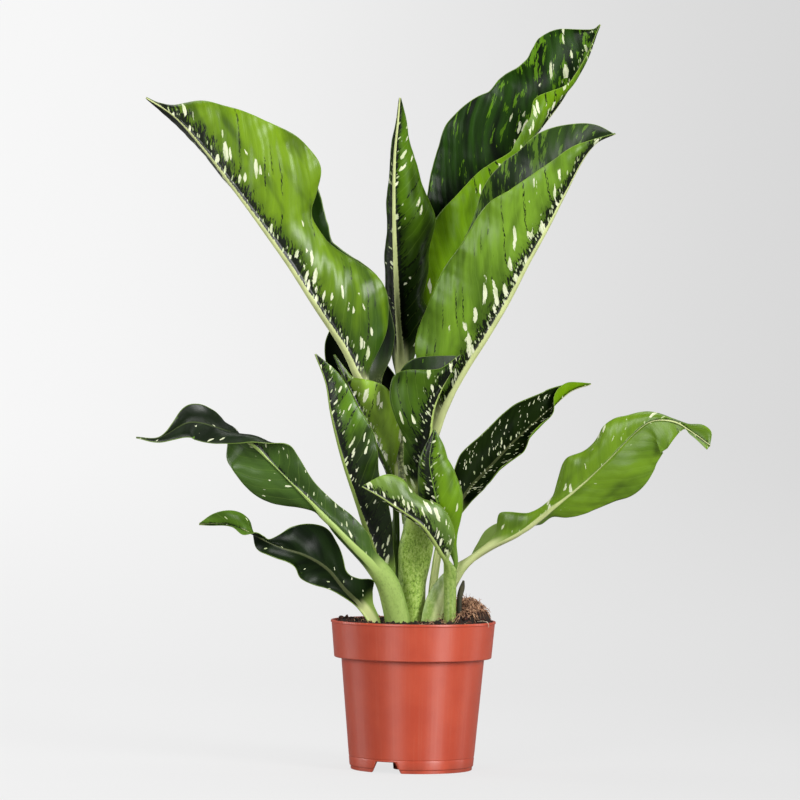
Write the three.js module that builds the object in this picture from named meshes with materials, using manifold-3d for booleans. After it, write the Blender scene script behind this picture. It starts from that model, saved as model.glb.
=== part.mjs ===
// A potted dieffenbachia: a short cane and a side shoot carrying folded, sheathing leaves, in a nursery pot.
// Millimetres, +Z up. The origin is the centre of the pot's underside; -Y is the plant's front.
import * as THREE from "three";
import Module from "manifold-3d";
import { mergeVertices } from "three/addons/utils/BufferGeometryUtils.js";

const wasm = await Module();
wasm.setup();

// Pot: a thin tapered wall under a wide collar. It stands on its foot ring and on a centre pad.
const POT_HEIGHT = 108;
const RIM_RADIUS = 60;
const LIP = 0.4;
const COLLAR_HEIGHT = 27;
const COLLAR_FOOT_RADIUS = 57.2;
const BODY_TOP_RADIUS = 52;
const BODY_FOOT_RADIUS = 44.8;
const WALL = 1.4;
const FLOOR_UNDERSIDE = 9;
const PAD_RADIUS = 13;
const POT_SIDES = 56;
const NOTCH_AZIMUTHS = [-115, 22, 120];
const NOTCH_WIDTH = 24;
const NOTCH_SLANT = 4.5;
const NOTCH_HEIGHT = 8;

// Soil: it fills the pot to just under the rim and is heaped up on the right.
const SOIL_TOP = 106;
const SOIL_RINGS = 8;
const SOIL_SIDES = 36;
const HEAP_HEIGHT = 15;
const HEAP_CENTRE = [36, 8];
const HEAP_RADIUS = 20;
const LUMP_HEIGHT = 1.8;
const FIT = 0.35;

// Plant.
const PLANTING_DEPTH = 80;
const BLADE_THICKNESS = 0.8;
const UPRIGHT_SIDES = 18;
const RAD = Math.PI / 180;

const PLASTIC = { color: 0xb4553c, roughness: 0.55 };
const EARTH = { color: 0x2c211a, roughness: 0.95 };
const STALK = { color: 0xa9bf72, roughness: 0.5 };
const BLADE = { color: 0x3f7a2a, roughness: 0.4 };

// A value list that runs smoothly through its knots. Each knot is [position, value, value, ...].
function track(knots, t) {
  const last = knots.length - 1;
  const at = Math.min(Math.max(t, knots[0][0]), knots[last][0]);
  let i = 0;
  while (i < last - 1 && at > knots[i + 1][0]) i += 1;
  const slope = (k, c) => {
    const a = knots[Math.max(k - 1, 0)];
    const b = knots[Math.min(k + 1, last)];
    return (b[c] - a[c]) / (b[0] - a[0]);
  };
  const span = knots[i + 1][0] - knots[i][0];
  const u = (at - knots[i][0]) / span;
  return knots[i].slice(1).map((v, n) => {
    const w = knots[i + 1][n + 1];
    const a = slope(i, n + 1) * span;
    const b = slope(i + 1, n + 1) * span;
    return v + u * (a + u * (3 * (w - v) - 2 * a - b + u * (2 * (v - w) + a + b)));
  });
}

// Spine points as knots, placed by their share of the length along the straight chords.
function spineKnots(points) {
  const vectors = points.map((p) => new THREE.Vector3(...p));
  const reach = [0];
  for (let i = 1; i < vectors.length; i += 1) {
    reach.push(reach[i - 1] + vectors[i].distanceTo(vectors[i - 1]));
  }
  return points.map((p, i) => [reach[i] / reach.at(-1), ...p]);
}

// One cross-section of a leaf, square to the spine. "Over" runs sideways, toward +X where the leaf grows up,
// and "back" away from the front. Each half reaches from the midrib to its margin and bows toward the
// underside; ripples lift the margin.
function sectionPoints(leaf, spine, t, allowance) {
  const at = new THREE.Vector3(...track(spine, t));
  const ahead = new THREE.Vector3(...track(spine, Math.min(t + 0.01, 1)));
  const behind = new THREE.Vector3(...track(spine, Math.max(t - 0.01, 0)));
  const along = ahead.sub(behind).normalize();
  const over = new THREE.Vector3(0, 1, 0).cross(along).normalize();
  const back = along.clone().cross(over);
  const [ribWidth] = track(leaf.rib, t);
  const [size, waves, phase] = leaf.ripple;
  const place = (x, y) => at.clone().addScaledVector(over, x).addScaledVector(back, y);
  const half = (side) => {
    const [x, y, bow] = track(side < 0 ? leaf.left : leaf.right, t);
    const width = Math.hypot(x, y);
    const first = Math.min(ribWidth / width, 0.5);
    const points = [];
    for (let j = 0; j < leaf.columns; j += 1) {
      const q = (first + ((1 - first) * j) / (leaf.columns - 1)) * (1 + allowance / width);
      const turn = 2 * Math.PI * (waves * t + phase + side * 0.2);
      const wave = size * q * q * Math.sin(turn) * Math.min(width / 20, 1);
      const out = (side * leaf.under * (4 * q * (1 - q) * bow + wave)) / width;
      points.push(place(x * q + y * out, y * q - x * out));
    }
    return points;
  };
  return [...half(-1).reverse(), at, ...half(1)];
}

// A leaf as one closed body: sheath, petiole, midrib and blade. Both skins are split into triangles alike.
function leafGeometry(leaf, allowance = 0) {
  const spine = spineKnots(leaf.spine);
  const shares = [];
  for (let i = 0; i <= leaf.rows; i += 1) shares.push(i / leaf.rows);
  const lines = shares.map((t) => sectionPoints(leaf, spine, t, allowance));
  const count = lines[0].length;
  const centre = (count - 1) / 2;
  const upper = [];
  const lower = [];
  lines.forEach((line, i) => {
    const before = lines[Math.max(i - 1, 0)];
    const after = lines[Math.min(i + 1, leaf.rows)];
    const [, ribDepth, shoulder] = track(leaf.rib, shares[i]);
    line.forEach((point, j) => {
      const across = line[Math.min(j + 1, count - 1)].clone().sub(line[Math.max(j - 1, 0)]);
      const along = after[j].clone().sub(before[j]);
      const normal = along.cross(across).normalize().multiplyScalar(leaf.under);
      const step = Math.abs(j - centre);
      const skin = BLADE_THICKNESS / 2 + allowance;
      let depth = skin;
      if (step === 0) depth += ribDepth;
      if (step === 1) depth += ribDepth * shoulder;
      upper.push(point.clone().addScaledVector(normal, skin));
      lower.push(point.clone().addScaledVector(normal, -depth));
      if (i > 0) return;
      upper.at(-1).z -= allowance;
      lower.at(-1).z -= allowance;
    });
  });
  return skinPair(upper, lower, leaf.rows, count, leaf.under > 0);
}

// Closes two like grids of points, the first one on the side that faces away when the flag is set.
function skinPair(first, second, rows, count, facesAway) {
  const faces = [];
  const offset = first.length;
  const add = (a, b, c) => (facesAway ? faces.push(a, c, b) : faces.push(a, b, c));
  for (let i = 0; i < rows; i += 1) {
    for (let j = 0; j < count - 1; j += 1) {
      const a = i * count + j;
      const b = a + count;
      const [p, q, r, s] = j < (count - 1) / 2 ? [a, a + 1, b, b + 1] : [a + 1, b + 1, a, b];
      add(p, q, r);
      add(q, s, r);
      add(offset + p, offset + r, offset + q);
      add(offset + q, offset + r, offset + s);
    }
  }
  const edge = (a, b) => {
    add(a, b + offset, b);
    add(a, a + offset, b + offset);
  };
  for (let j = 0; j < count - 1; j += 1) {
    edge(j, j + 1);
    edge(rows * count + j + 1, rows * count + j);
  }
  for (let i = 0; i < rows; i += 1) {
    edge((i + 1) * count, i * count);
    edge((i + 1) * count - 1, (i + 2) * count - 1);
  }
  const positions = [...first, ...second].flatMap((v) => v.toArray());
  const geometry = new THREE.BufferGeometry();
  geometry.setAttribute("position", new THREE.Float32BufferAttribute(positions, 3));
  geometry.setIndex(faces);
  return geometry;
}

// A round stem with pointed ends. Each knot is [height, x, y, radius]; the rings grow by the allowance.
function stemGeometry(knots, allowance = 0) {
  const rings = 8;
  const bottom = knots[0][0];
  const top = knots.at(-1)[0];
  const positions = [];
  for (let i = 0; i <= rings; i += 1) {
    const z = bottom + ((top - bottom) * i) / rings;
    const [x, y, radius] = track(knots, z);
    for (let k = 0; k < UPRIGHT_SIDES; k += 1) {
      const a = (2 * Math.PI * k) / UPRIGHT_SIDES;
      const r = radius + allowance;
      positions.push(x + r * Math.cos(a), y + r * Math.sin(a), z);
    }
  }
  const [x0, y0] = track(knots, bottom);
  const [x1, y1] = track(knots, top);
  positions.push(x0, y0, bottom - 1 - allowance, x1, y1, top + 2 + allowance);
  const faces = [];
  const foot = (rings + 1) * UPRIGHT_SIDES;
  for (let k = 0; k < UPRIGHT_SIDES; k += 1) {
    const next = (k + 1) % UPRIGHT_SIDES;
    for (let i = 0; i < rings; i += 1) {
      const a = i * UPRIGHT_SIDES;
      const b = a + UPRIGHT_SIDES;
      faces.push(a + k, a + next, b + k, a + next, b + next, b + k);
    }
    const last = rings * UPRIGHT_SIDES;
    faces.push(next, k, foot, last + k, last + next, foot + 1);
  }
  const geometry = new THREE.BufferGeometry();
  geometry.setAttribute("position", new THREE.Float32BufferAttribute(positions, 3));
  geometry.setIndex(faces);
  return geometry;
}

function solidOf(geometry) {
  const bare = geometry.clone();
  bare.deleteAttribute("normal");
  bare.deleteAttribute("uv");
  const merged = mergeVertices(bare, 1e-4);
  return new wasm.Manifold(
    new wasm.Mesh({
      numProp: 3,
      vertProperties: merged.attributes.position.array,
      triVerts: new Uint32Array(merged.index.array),
    }),
  );
}

function geometryOf(solid) {
  const mesh = solid.getMesh();
  const geometry = new THREE.BufferGeometry();
  geometry.setAttribute("position", new THREE.Float32BufferAttribute(mesh.vertProperties, 3));
  geometry.setIndex(new THREE.BufferAttribute(mesh.triVerts, 1));
  return geometry;
}

function potGeometry() {
  const collarFoot = POT_HEIGHT - COLLAR_HEIGHT;
  const profile = [
    [0, 0],
    [PAD_RADIUS, 0],
    [PAD_RADIUS + 0.8, FLOOR_UNDERSIDE],
    [BODY_FOOT_RADIUS - WALL + 0.4, FLOOR_UNDERSIDE],
    [BODY_FOOT_RADIUS - WALL - 0.8, 0],
    [BODY_FOOT_RADIUS - 0.8, 0],
    [BODY_FOOT_RADIUS, 1],
    [BODY_TOP_RADIUS, collarFoot],
    [COLLAR_FOOT_RADIUS - 0.6, collarFoot],
    [COLLAR_FOOT_RADIUS, collarFoot + 0.6],
    [RIM_RADIUS - LIP - 0.2, POT_HEIGHT - 2],
    [RIM_RADIUS, POT_HEIGHT - 1.6],
    [RIM_RADIUS, POT_HEIGHT - 0.4],
    [RIM_RADIUS - 0.4, POT_HEIGHT],
    [RIM_RADIUS - WALL - LIP, POT_HEIGHT],
    [COLLAR_FOOT_RADIUS - WALL, collarFoot + WALL],
    [BODY_TOP_RADIUS - WALL, collarFoot + WALL],
    [BODY_FOOT_RADIUS - WALL + 0.9, FLOOR_UNDERSIDE + WALL],
    [0, FLOOR_UNDERSIDE + WALL],
  ];
  const body = new THREE.LatheGeometry(profile.map(([r, z]) => new THREE.Vector2(r, z)), POT_SIDES);
  body.rotateX(Math.PI / 2);
  let pot = solidOf(body);
  for (const azimuth of NOTCH_AZIMUTHS) {
    const outline = new THREE.Shape();
    outline.moveTo(-NOTCH_WIDTH / 2, -1);
    outline.lineTo(NOTCH_WIDTH / 2, -1);
    outline.lineTo(NOTCH_WIDTH / 2 - NOTCH_SLANT, NOTCH_HEIGHT);
    outline.lineTo(NOTCH_SLANT - NOTCH_WIDTH / 2, NOTCH_HEIGHT);
    const notch = new THREE.ExtrudeGeometry(outline, { depth: 20, bevelEnabled: false });
    notch.rotateX(Math.PI / 2);
    notch.translate(0, BODY_FOOT_RADIUS + 6, 0);
    notch.rotateZ((azimuth - 90) * RAD);
    pot = pot.subtract(solidOf(notch));
  }
  return geometryOf(pot);
}

// Soil surface above the pot's floor at a point; the two waves make the lumps.
function soilHeight(x, y) {
  const away = Math.hypot(x - HEAP_CENTRE[0], (y - HEAP_CENTRE[1]) * 0.8) / HEAP_RADIUS;
  const heap = HEAP_HEIGHT * Math.exp(-Math.pow(away, 3));
  const wide = Math.sin(x * 0.37 + 1.3) * Math.cos(y * 0.31);
  const lumps = LUMP_HEIGHT * (wide + 0.7 * Math.sin(x * 0.83 - y * 0.61));
  return SOIL_TOP + heap + lumps;
}

function soilGeometry(planted) {
  const collarFoot = POT_HEIGHT - COLLAR_HEIGHT;
  const floor = FLOOR_UNDERSIDE + WALL + FIT;
  const edge = RIM_RADIUS - WALL - LIP - 1;
  const profile = [
    [0, floor],
    [BODY_FOOT_RADIUS - WALL + 0.5, floor],
    [BODY_TOP_RADIUS - WALL - 0.5, collarFoot],
    [BODY_TOP_RADIUS - WALL - 0.5, collarFoot + WALL + FIT],
    [COLLAR_FOOT_RADIUS - WALL - 0.5, collarFoot + WALL + FIT],
    [edge, SOIL_TOP - 2],
  ];
  for (let i = 1; i <= SOIL_RINGS; i += 1) profile.push([edge * (1 - i / SOIL_RINGS), SOIL_TOP]);
  const body = new THREE.LatheGeometry(profile.map(([r, z]) => new THREE.Vector2(r, z)), SOIL_SIDES);
  body.rotateX(Math.PI / 2);
  const points = body.attributes.position;
  for (let i = 0; i < points.count; i += 1) {
    if (points.getZ(i) < SOIL_TOP - 0.1) continue;
    points.setZ(i, soilHeight(points.getX(i), points.getY(i)));
  }
  let soil = solidOf(body);
  for (const make of planted) {
    soil = soil.subtract(solidOf(make()));
  }
  return geometryOf(soil);
}

// Leaves. Spine points are [x, y, z]; rib knots [share, half width, depth, shoulder]; left and right knots
// [share, over, back, bow]; ripple is [size, waves, phase]. "under" is 1 where the underside is in front.
const LEAVES = [
  {
    name: "leaf_upper_left",
    under: 1,
    spine: [
      [-8.3, -0.5, 194], [-8.5, -1, 208], [-9, -2, 222], [-16, -7.5, 254], [-37, -14.9, 277],
      [-51.9, -24, 304.9], [-74, -36, 337], [-95, -43, 368], [-114, -47, 394], [-133, -51, 419],
      [-151, -53, 442], [-175, -56, 468], [-196, -58, 481],
    ],
    rib: [
      [0.078, 3, 3.5, 0.6], [0.263, 3, 4, 0.5], [0.355, 2.6, 3, 0.2], [0.723, 2, 1.8, 0.1],
      [1, 0.6, 0.2, 0.1],
    ],
    left: [
      [0, -0.2, 5, 0.3], [0.078, 0.5, 5, 0.5], [0.17, 0, 6, 1], [0.226, 8, 9, 2], [0.281, 26, 12, 4],
      [0.336, 39, 13, 6], [0.41, 47.3, 17, 9], [0.465, 45.2, 22, 12], [0.539, 34.3, 28, 14],
      [0.575, 38.8, 26.7, 14.3], [0.604, 43.3, 26, 15], [0.622, 46.6, 27.6, 16.4], [0.641, 49, 30.3, 18.5],
      [0.659, 48.5, 32, 20], [0.7, 42.5, 32, 22], [0.742, 38, 32, 23], [0.834, 28, 27, 19],
      [0.908, 14, 17, 12], [0.95, 3, 9, 5], [0.975, 0, 4, 2], [1, -0.6, 0.4, 0],
    ],
    right: [
      [0, 2.5, -4, 0.3], [0.078, 3, -3, 0.5], [0.207, 4, 0, 0.5], [0.281, 7, 2, 1], [0.355, 38, 4, 4],
      [0.41, 47.8, 6, 5], [0.465, 44.3, 12, 6], [0.539, 32.6, 16, 7], [0.57, 30.4, 15.8, 6.8],
      [0.604, 32.5, 14, 6], [0.622, 36.6, 11.4, 5.1], [0.641, 45.3, 8, 4], [0.677, 58.2, 4, 3],
      [0.723, 59.5, 3, 3], [0.77, 55.9, 4, 3], [0.825, 44.1, 6, 3], [0.86, 36.9, 6.3, 2.3],
      [0.88, 31.6, 6, 2], [0.917, 21.1, 4, 2], [0.945, 6.6, 2, 1], [0.972, 1.9, 1, 0], [1, 0.7, 0.3, 0],
    ],
    ripple: [1.6, 7, 0.1],
    rows: 28,
    columns: 4,
  },
  {
    name: "leaf_upper_centre",
    under: 1,
    spine: [
      [-1, 4, 214.6], [-3, 6, 222], [-9, 10, 262], [-12, 12.8, 308], [-15, 15, 345], [-17, 18, 385],
      [-18, 19, 415], [-18, 18, 446], [-16, 16, 473], [-15, 16, 489],
    ],
    rib: [
      [0.029, 3, 3.5, 0.6], [0.223, 3, 3.5, 0.5], [0.369, 2.6, 2.6, 0.2], [0.709, 1.8, 1.6, 0.1],
      [1, 0.6, 0.2, 0.1],
    ],
    left: [
      [0.029, -3.5, 1, 0.5], [0.223, -3.5, 2, 1], [0.339, -6, 14, 3], [0.514, -8, 17, 4],
      [0.611, -5, 18, 4], [0.757, -3, 17, 3], [0.903, -2, 10, 1], [1, -0.6, 0.3, 0],
    ],
    right: [
      [0.029, 3.5, 1, 0.5], [0.223, 4, 2, 1], [0.32, 11, 12, 3], [0.398, 24, 10, 4], [0.475, 20, 16, 6],
      [0.611, 26, 16, 6], [0.689, 29, 12, 5], [0.806, 17, 12, 4], [0.903, 9, 8, 2], [1, 0.7, 0.3, 0],
    ],
    ripple: [1.6, 7, 0.3],
    rows: 19,
    columns: 4,
  },
  {
    name: "leaf_upper_back",
    under: 1,
    spine: [
      [5.4, 7, 188], [5.6, 9.5, 200], [6, 13, 212], [14, 25.3, 262], [24.1, 39.8, 305.1], [37, 53, 345],
      [54, 66, 394], [68, 75, 432], [80, 82, 460], [91, 84, 475], [105, 86, 494], [115, 87, 512],
      [125, 87, 530], [134, 87, 551],
    ],
    rib: [
      [0.062, 3, 3.5, 0.6], [0.174, 3, 4, 0.5], [0.268, 2.6, 3, 0.2], [0.719, 2, 1.8, 0.1],
      [1, 0.6, 0.2, 0.1],
    ],
    left: [
      [0, 0.6, -4, 0.3], [0.062, -1, -4, 0.5], [0.174, -5, -1, 0.5], [0.25, -20, -2, 3],
      [0.343, -27, -3, 4], [0.437, -35.6, -2, 5], [0.531, -42, 0, 6], [0.587, -34, -8, 6],
      [0.644, -22.9, -14, 6], [0.69, -10, -16.6, 5.4], [0.719, -10.1, -17, 5], [0.77, -8.9, -14.6, 4.5],
      [0.812, -14.7, -12, 4], [0.887, -0.6, -9, 3], [1, -0.6, -0.3, 0],
    ],
    right: [
      [0, -2, 4, 0.3], [0.062, -3, 2, 0.5], [0.174, 2, 5, 1], [0.25, -10, 20, 5], [0.343, -29, 26, 7],
      [0.437, -38.9, 26, 8], [0.512, -47, 20, 8], [0.578, -53, 16, 8], [0.644, -58.7, 15, 8],
      [0.68, -60.2, 15.5, 8.1], [0.719, -59.8, 16, 8], [0.77, -47.4, 15.8, 7.6], [0.812, -47.1, 15, 7],
      [0.878, -36.9, 11, 5], [0.9, -37.4, 9.2, 4.5], [0.925, -37, 7, 4], [0.962, -27.6, 4, 3],
      [0.986, -4.4, 2, 1], [1, -0.5, 0.4, 0],
    ],
    ripple: [2.2, 7, 0.4],
    rows: 24,
    columns: 4,
  },
  {
    name: "leaf_upper_right",
    under: 1,
    spine: [
      [3.4, -1.8, 186], [4, -2.2, 197], [5, -3, 208], [11, -9.2, 238], [19.9, -17.3, 265],
      [33.9, -25.9, 290.9], [49, -34, 315], [64, -40, 341], [77, -46, 367], [91, -51, 393], [104, -55, 419],
      [116, -57, 442], [126, -58, 454], [139, -59, 460],
    ],
    rib: [
      [0.069, 3, 3.5, 0.6], [0.255, 3.2, 4, 0.5], [0.367, 2.8, 3, 0.2], [0.721, 2, 1.8, 0.1],
      [1, 0.6, 0.2, 0.1],
    ],
    left: [
      [0, -3, -2.4, 0.3], [0.069, -3, -3, 0.5], [0.209, -4, -1, 0.5], [0.274, -12, -1, 1],
      [0.339, -37.5, -2, 4], [0.442, -47.1, -3, 5], [0.535, -50.4, -3, 6], [0.628, -47.2, -3, 6],
      [0.721, -44.4, -4, 5], [0.777, -34.7, -7, 4], [0.832, -24.2, -9, 4], [0.907, -12.8, -6, 3],
      [0.953, -2.4, -4, 1], [1, -0.6, -0.3, 0],
    ],
    right: [
      [0, 2.4, 4, 0.3], [0.069, 1, 5.4, 0.5], [0.209, 2, 5, 1], [0.274, -4, 12, 2], [0.349, -26, 20, 4],
      [0.442, -38, 24, 5], [0.535, -44, 25, 6], [0.628, -47, 24, 6], [0.721, -53, 20, 6],
      [0.814, -49.2, 14, 5], [0.86, -42.4, 11.6, 4.6], [0.907, -34.5, 9, 4], [0.953, -17.8, 5, 2],
      [1, 0.6, 0.4, 0],
    ],
    ripple: [2, 7, 0.2],
    rows: 24,
    columns: 4,
  },
  {
    name: "leaf_front_centre",
    under: 1,
    spine: [
      [-1, -6.5, 94], [-1, -6.5, 112], [-1, -7.3, 137], [-2, -9.7, 160], [-1, -13, 181], [1, -17, 200],
      [5, -23, 221], [8, -29, 242], [11, -34, 262], [17, -37, 277], [24, -38, 289], [31, -39, 301],
    ],
    rib: [
      [0, 4, 2, 0.6], [0.3, 4, 2.4, 0.6], [0.42, 3, 4, 0.6], [0.6, 3, 4, 0.4], [0.75, 2, 2.4, 0.1],
      [1, 0.6, 0.2, 0.1],
    ],
    left: [
      [0, -9, 7, 2.5], [0.26, -10, 7, 2.5], [0.36, -7, 4, 1.5], [0.44, -4, 2, 0.5], [0.5, -6, 1, 0.5],
      [0.58, -13, 0, 1], [0.68, -17, 0, 2], [0.75, -25, 0, 3], [0.8, -32, 1, 3], [0.84, -34, 1, 3],
      [0.87, -29, -2, 3], [0.9, -15, -4, 3], [0.93, -7, -4, 2], [1, -0.6, -0.3, 0],
    ],
    right: [
      [0, 9, 7, 2.5], [0.17, 9.5, 7, 2.5], [0.25, 13, 7, 2], [0.32, 16, 7, 2], [0.37, 14, 6, 2],
      [0.43, 8, 4, 1], [0.5, 3, 3, 0.5], [0.6, -6, 8, 2], [0.7, -16, 8, 2], [0.8, -28, 7, 2],
      [0.87, -31, 6, 2], [0.93, -22, 4, 1], [1, 0.6, 0.4, 0],
    ],
    ripple: [0.8, 7, 0.2],
    rows: 26,
    columns: 4,
  },
  {
    name: "leaf_left_front",
    under: 1,
    spine: [
      [-17, -4, 95], [-18, -5.7, 120], [-22, -9.8, 141.1], [-29, -16.1, 160.1], [-36, -23, 179],
      [-43, -30, 199], [-50, -36, 219], [-56, -40, 239], [-61, -42, 259], [-65, -43, 280], [-73, -45, 300],
    ],
    rib: [[0, 3, 2.5, 0.6], [0.3, 2.6, 2.5, 0.5], [0.45, 2.2, 2, 0.2], [1, 0.6, 0.2, 0.1]],
    left: [
      [0, -2, 3, 0.5], [0.25, -3, 3, 1], [0.36, 2, 5, 2], [0.5, 8, 6, 3], [0.65, 14, 7, 4], [0.8, 12, 7, 4],
      [0.9, 5, 5, 2], [1, -0.6, 0.4, 0],
    ],
    right: [
      [0, 3, 1, 0.5], [0.13, 4, 1, 0.5], [0.2, 8, 1, 0.5], [0.27, 12, 0, 1], [0.37, 18, 0, 1],
      [0.47, 21, 0, 2], [0.55, 21, 0, 2], [0.63, 25, 0, 2], [0.7, 26, 0, 2], [0.8, 20, 0, 2],
      [0.9, 12, 0, 1], [1, 0.7, 0.3, 0],
    ],
    ripple: [1, 8, 0.1],
    rows: 18,
    columns: 3,
  },
  {
    name: "leaf_left_inner",
    under: 1,
    spine: [
      [-10.3, 4, 122], [-11.4, 3.4, 138], [-12.4, 1.4, 152], [-13, -1, 174], [-15, -5, 200],
      [-21, -10, 221], [-33, -15, 245], [-47, -21, 273], [-60, -25, 300],
    ],
    rib: [[0, 2, 1.6, 0.6], [0.5, 2, 1.6, 0.4], [0.7, 1.6, 1.2, 0.2], [1, 0.6, 0.2, 0.1]],
    left: [
      [0, 0, 3.4, 0.3], [0.06, -2, 3, 0.3], [0.12, -9, 3, 1], [0.22, -10, 3, 1], [0.27, -6, 3, 0.5],
      [0.32, -2, 2.4, 0.4], [0.45, -2, 2, 0.5], [0.6, -3, 5, 1], [0.8, -2, 6, 1], [1, -0.6, 0.4, 0],
    ],
    right: [
      [0, 0.8, -3.4, 0.3], [0.1, 0.8, -3, 0.3], [0.2, 2, -1, 0.3], [0.42, 2.4, 1, 0], [0.5, 4, 0, 0],
      [0.55, 10, 0, 1], [0.6, 18, 0, 1], [0.68, 23, 0, 1], [0.78, 25, 0, 1], [0.82, 22, 0, 1],
      [0.86, 14, 0, 1], [0.89, 6, 1, 1], [0.94, 3, 1, 0], [1, 0.7, 0.3, 0],
    ],
    ripple: [0.6, 4, 0.1],
    rows: 20,
    columns: 3,
  },
  {
    name: "leaf_small_upright",
    under: 1,
    spine: [
      [28.6, -18.5, 134], [28.8, -18.1, 143], [29.9, -19.1, 150], [27.8, -21.9, 160], [22, -27.1, 175.1],
      [16, -34, 195], [12, -38, 212], [10, -40, 226], [13, -42, 247],
    ],
    rib: [
      [0, 1.6, 0.1, 0.6], [0.1, 1.7, 0.2, 0.6], [0.18, 2, 1.4, 0.5], [0.393, 1.8, 1.4, 0.3],
      [1, 0.5, 0.2, 0.1],
    ],
    left: [
      [0, -1.2, -1, 0.2], [0.12, -1.4, -0.6, 0.2], [0.16, -1.6, 0, 0.2], [0.281, -5, 2, 0.5],
      [0.38, -10, 4, 1], [0.478, -13, 6, 1], [0.606, -12, 6, 2], [0.754, -9, 5, 2], [0.902, -4, 2, 1],
      [1, -0.6, 0.3, 0],
    ],
    right: [
      [0, 0.3, 2.2, 0.2], [0.08, 0.5, 2.2, 0.2], [0.15, 1.7, 1.2, 0.2], [0.255, 4, 1, 0.5],
      [0.393, 13, 2, 1], [0.48, 17, 3, 2], [0.567, 19, 4, 3], [0.697, 17, 4, 3], [0.827, 13, 3, 2],
      [0.913, 9, 2, 1], [1, 0.7, 0.3, 0],
    ],
    ripple: [0.6, 4, 0.1],
    rows: 15,
    columns: 3,
  },
  {
    name: "leaf_small_front",
    under: 1,
    spine: [
      [26.2, -21.1, 98], [26, -21.1, 118], [25.7, -21.2, 134], [25, -22.6, 145], [22.6, -28, 153],
      [19, -32.8, 159.1], [13, -39, 169], [6, -44, 178], [-3, -47, 185], [-14, -51, 192], [-25, -53, 199],
      [-38, -56, 206],
    ],
    rib: [
      [0, 3.4, 0.5, 0.8], [0.26, 3.4, 0.5, 0.8], [0.34, 2.4, 1.3, 0.6], [0.486, 1.8, 1.5, 0.3],
      [1, 0.5, 0.2, 0.1],
    ],
    left: [
      [0, -3.7, 4.5, 1.2], [0.29, -3.7, 4.5, 1.2], [0.34, -2.8, 2.5, 0.6], [0.39, -1.8, 0.8, 0.2],
      [0.486, -2, 3, 0.5], [0.707, -2, 6, 1], [0.89, -1, 5, 1], [1, -0.6, 0.3, 0],
    ],
    right: [
      [0, 4.6, 4.2, 1.5], [0.27, 4.6, 4.2, 1.6], [0.31, 5.7, 3.8, 1.8], [0.33, 5.1, 1.8, 1],
      [0.345, 4.1, 1.2, 0.6], [0.37, 2.9, 0.8, 0.3], [0.394, 2.4, 0.5, 0.3], [0.42, 7, 1, 0.5],
      [0.472, 13, 2, 1], [0.53, 17, 3, 2], [0.633, 19, 3, 2], [0.707, 15, 4, 3], [0.78, 16, 4, 3],
      [0.853, 19, 3, 2], [0.927, 15, 2, 1], [1, 0.7, 0.3, 0],
    ],
    ripple: [0.8, 4, 0.1],
    rows: 16,
    columns: 3,
  },
  {
    name: "leaf_left_long",
    under: 1,
    spine: [
      [-10, -17, 94], [-11, -18.7, 106], [-15, -23.4, 122.1], [-21, -29.5, 137.2], [-31, -37, 150.3],
      [-44.9, -45.4, 164.4], [-63, -54, 183], [-82, -63, 202], [-101, -71, 221], [-117, -77, 236],
      [-136, -83, 245], [-159.9, -88, 250.2], [-181.3, -93, 239.3], [-197, -98, 238.9],
    ],
    rib: [
      [0, 4, 2, 0.7], [0.199, 4, 2.6, 0.6], [0.338, 2.8, 3, 0.4], [0.447, 2.4, 2.4, 0.2],
      [1, 0.6, 0.2, 0.1],
    ],
    left: [
      [0, -9, 6, 2], [0.119, -8, 5, 2], [0.248, -5, 3, 1], [0.358, -4, 2, 0.5], [0.417, -1.7, 2, 1],
      [0.457, -5.8, 2, 1], [0.527, -19.5, 3, 2], [0.56, -23.4, 3.7, 2.9], [0.596, -25.3, 5, 3],
      [0.64, -25.1, 6.8, 0.1], [0.676, -23.1, 10, -3], [0.706, -17.5, 20, -6], [0.735, -0.6, 21, -4],
      [0.777, 7.7, 15, 0], [0.844, 12.8, 7, 2], [0.888, 5.4, 4, 2], [0.942, 0.3, 3, 1], [1, 0.6, 0.4, 0],
    ],
    right: [
      [0, 9, 5, 2], [0.119, 9, 5, 2], [0.219, 8, 3, 1], [0.248, 8, 3, 1], [0.288, 13, 3, 1],
      [0.358, 14, 3, 1], [0.417, 12, 1, 1], [0.497, 11.8, 0, 1], [0.576, 16.1, -3, 2], [0.626, 17.6, -7, 0],
      [0.676, 5.6, -13, -5], [0.735, -6, -11, -4], [0.799, -12.2, -7, 0], [0.866, -11, -4, 1],
      [0.932, -4.5, -3, 1], [1, -0.1, -0.3, 0],
    ],
    ripple: [0.8, 6, 0.1],
    rows: 31,
    columns: 3,
  },
  {
    name: "leaf_left_low",
    under: -1,
    spine: [
      [-26, -13, 95], [-29, -15.4, 106.1], [-38, -23.5, 119.2], [-48.9, -33.2, 130.4], [-62, -43, 146],
      [-78, -53, 156], [-96, -61, 162], [-116, -68, 171], [-133, -72, 178], [-153, -77, 178],
    ],
    rib: [[0, 2.8, 2.6, 0.6], [0.2, 2.4, 2.4, 0.5], [0.4, 1.8, 1.6, 0.2], [1, 0.5, 0.2, 0.1]],
    left: [
      [0, -3, -2, 0.5], [0.2, -3, -1, 0.5], [0.3, -6, -3, 1], [0.4, -14, -4, 2], [0.5, -16, -2, 2],
      [0.6, -8, -5, 2], [0.68, -8.5, -2, 1], [0.73, -7.5, 3, 1], [0.77, 2.4, 7, 0.5], [0.81, 8.7, 5, 1],
      [0.86, 10.6, 1, 2], [0.94, 7.1, 0, 1], [1, 0.6, 0.3, 0],
    ],
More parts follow.
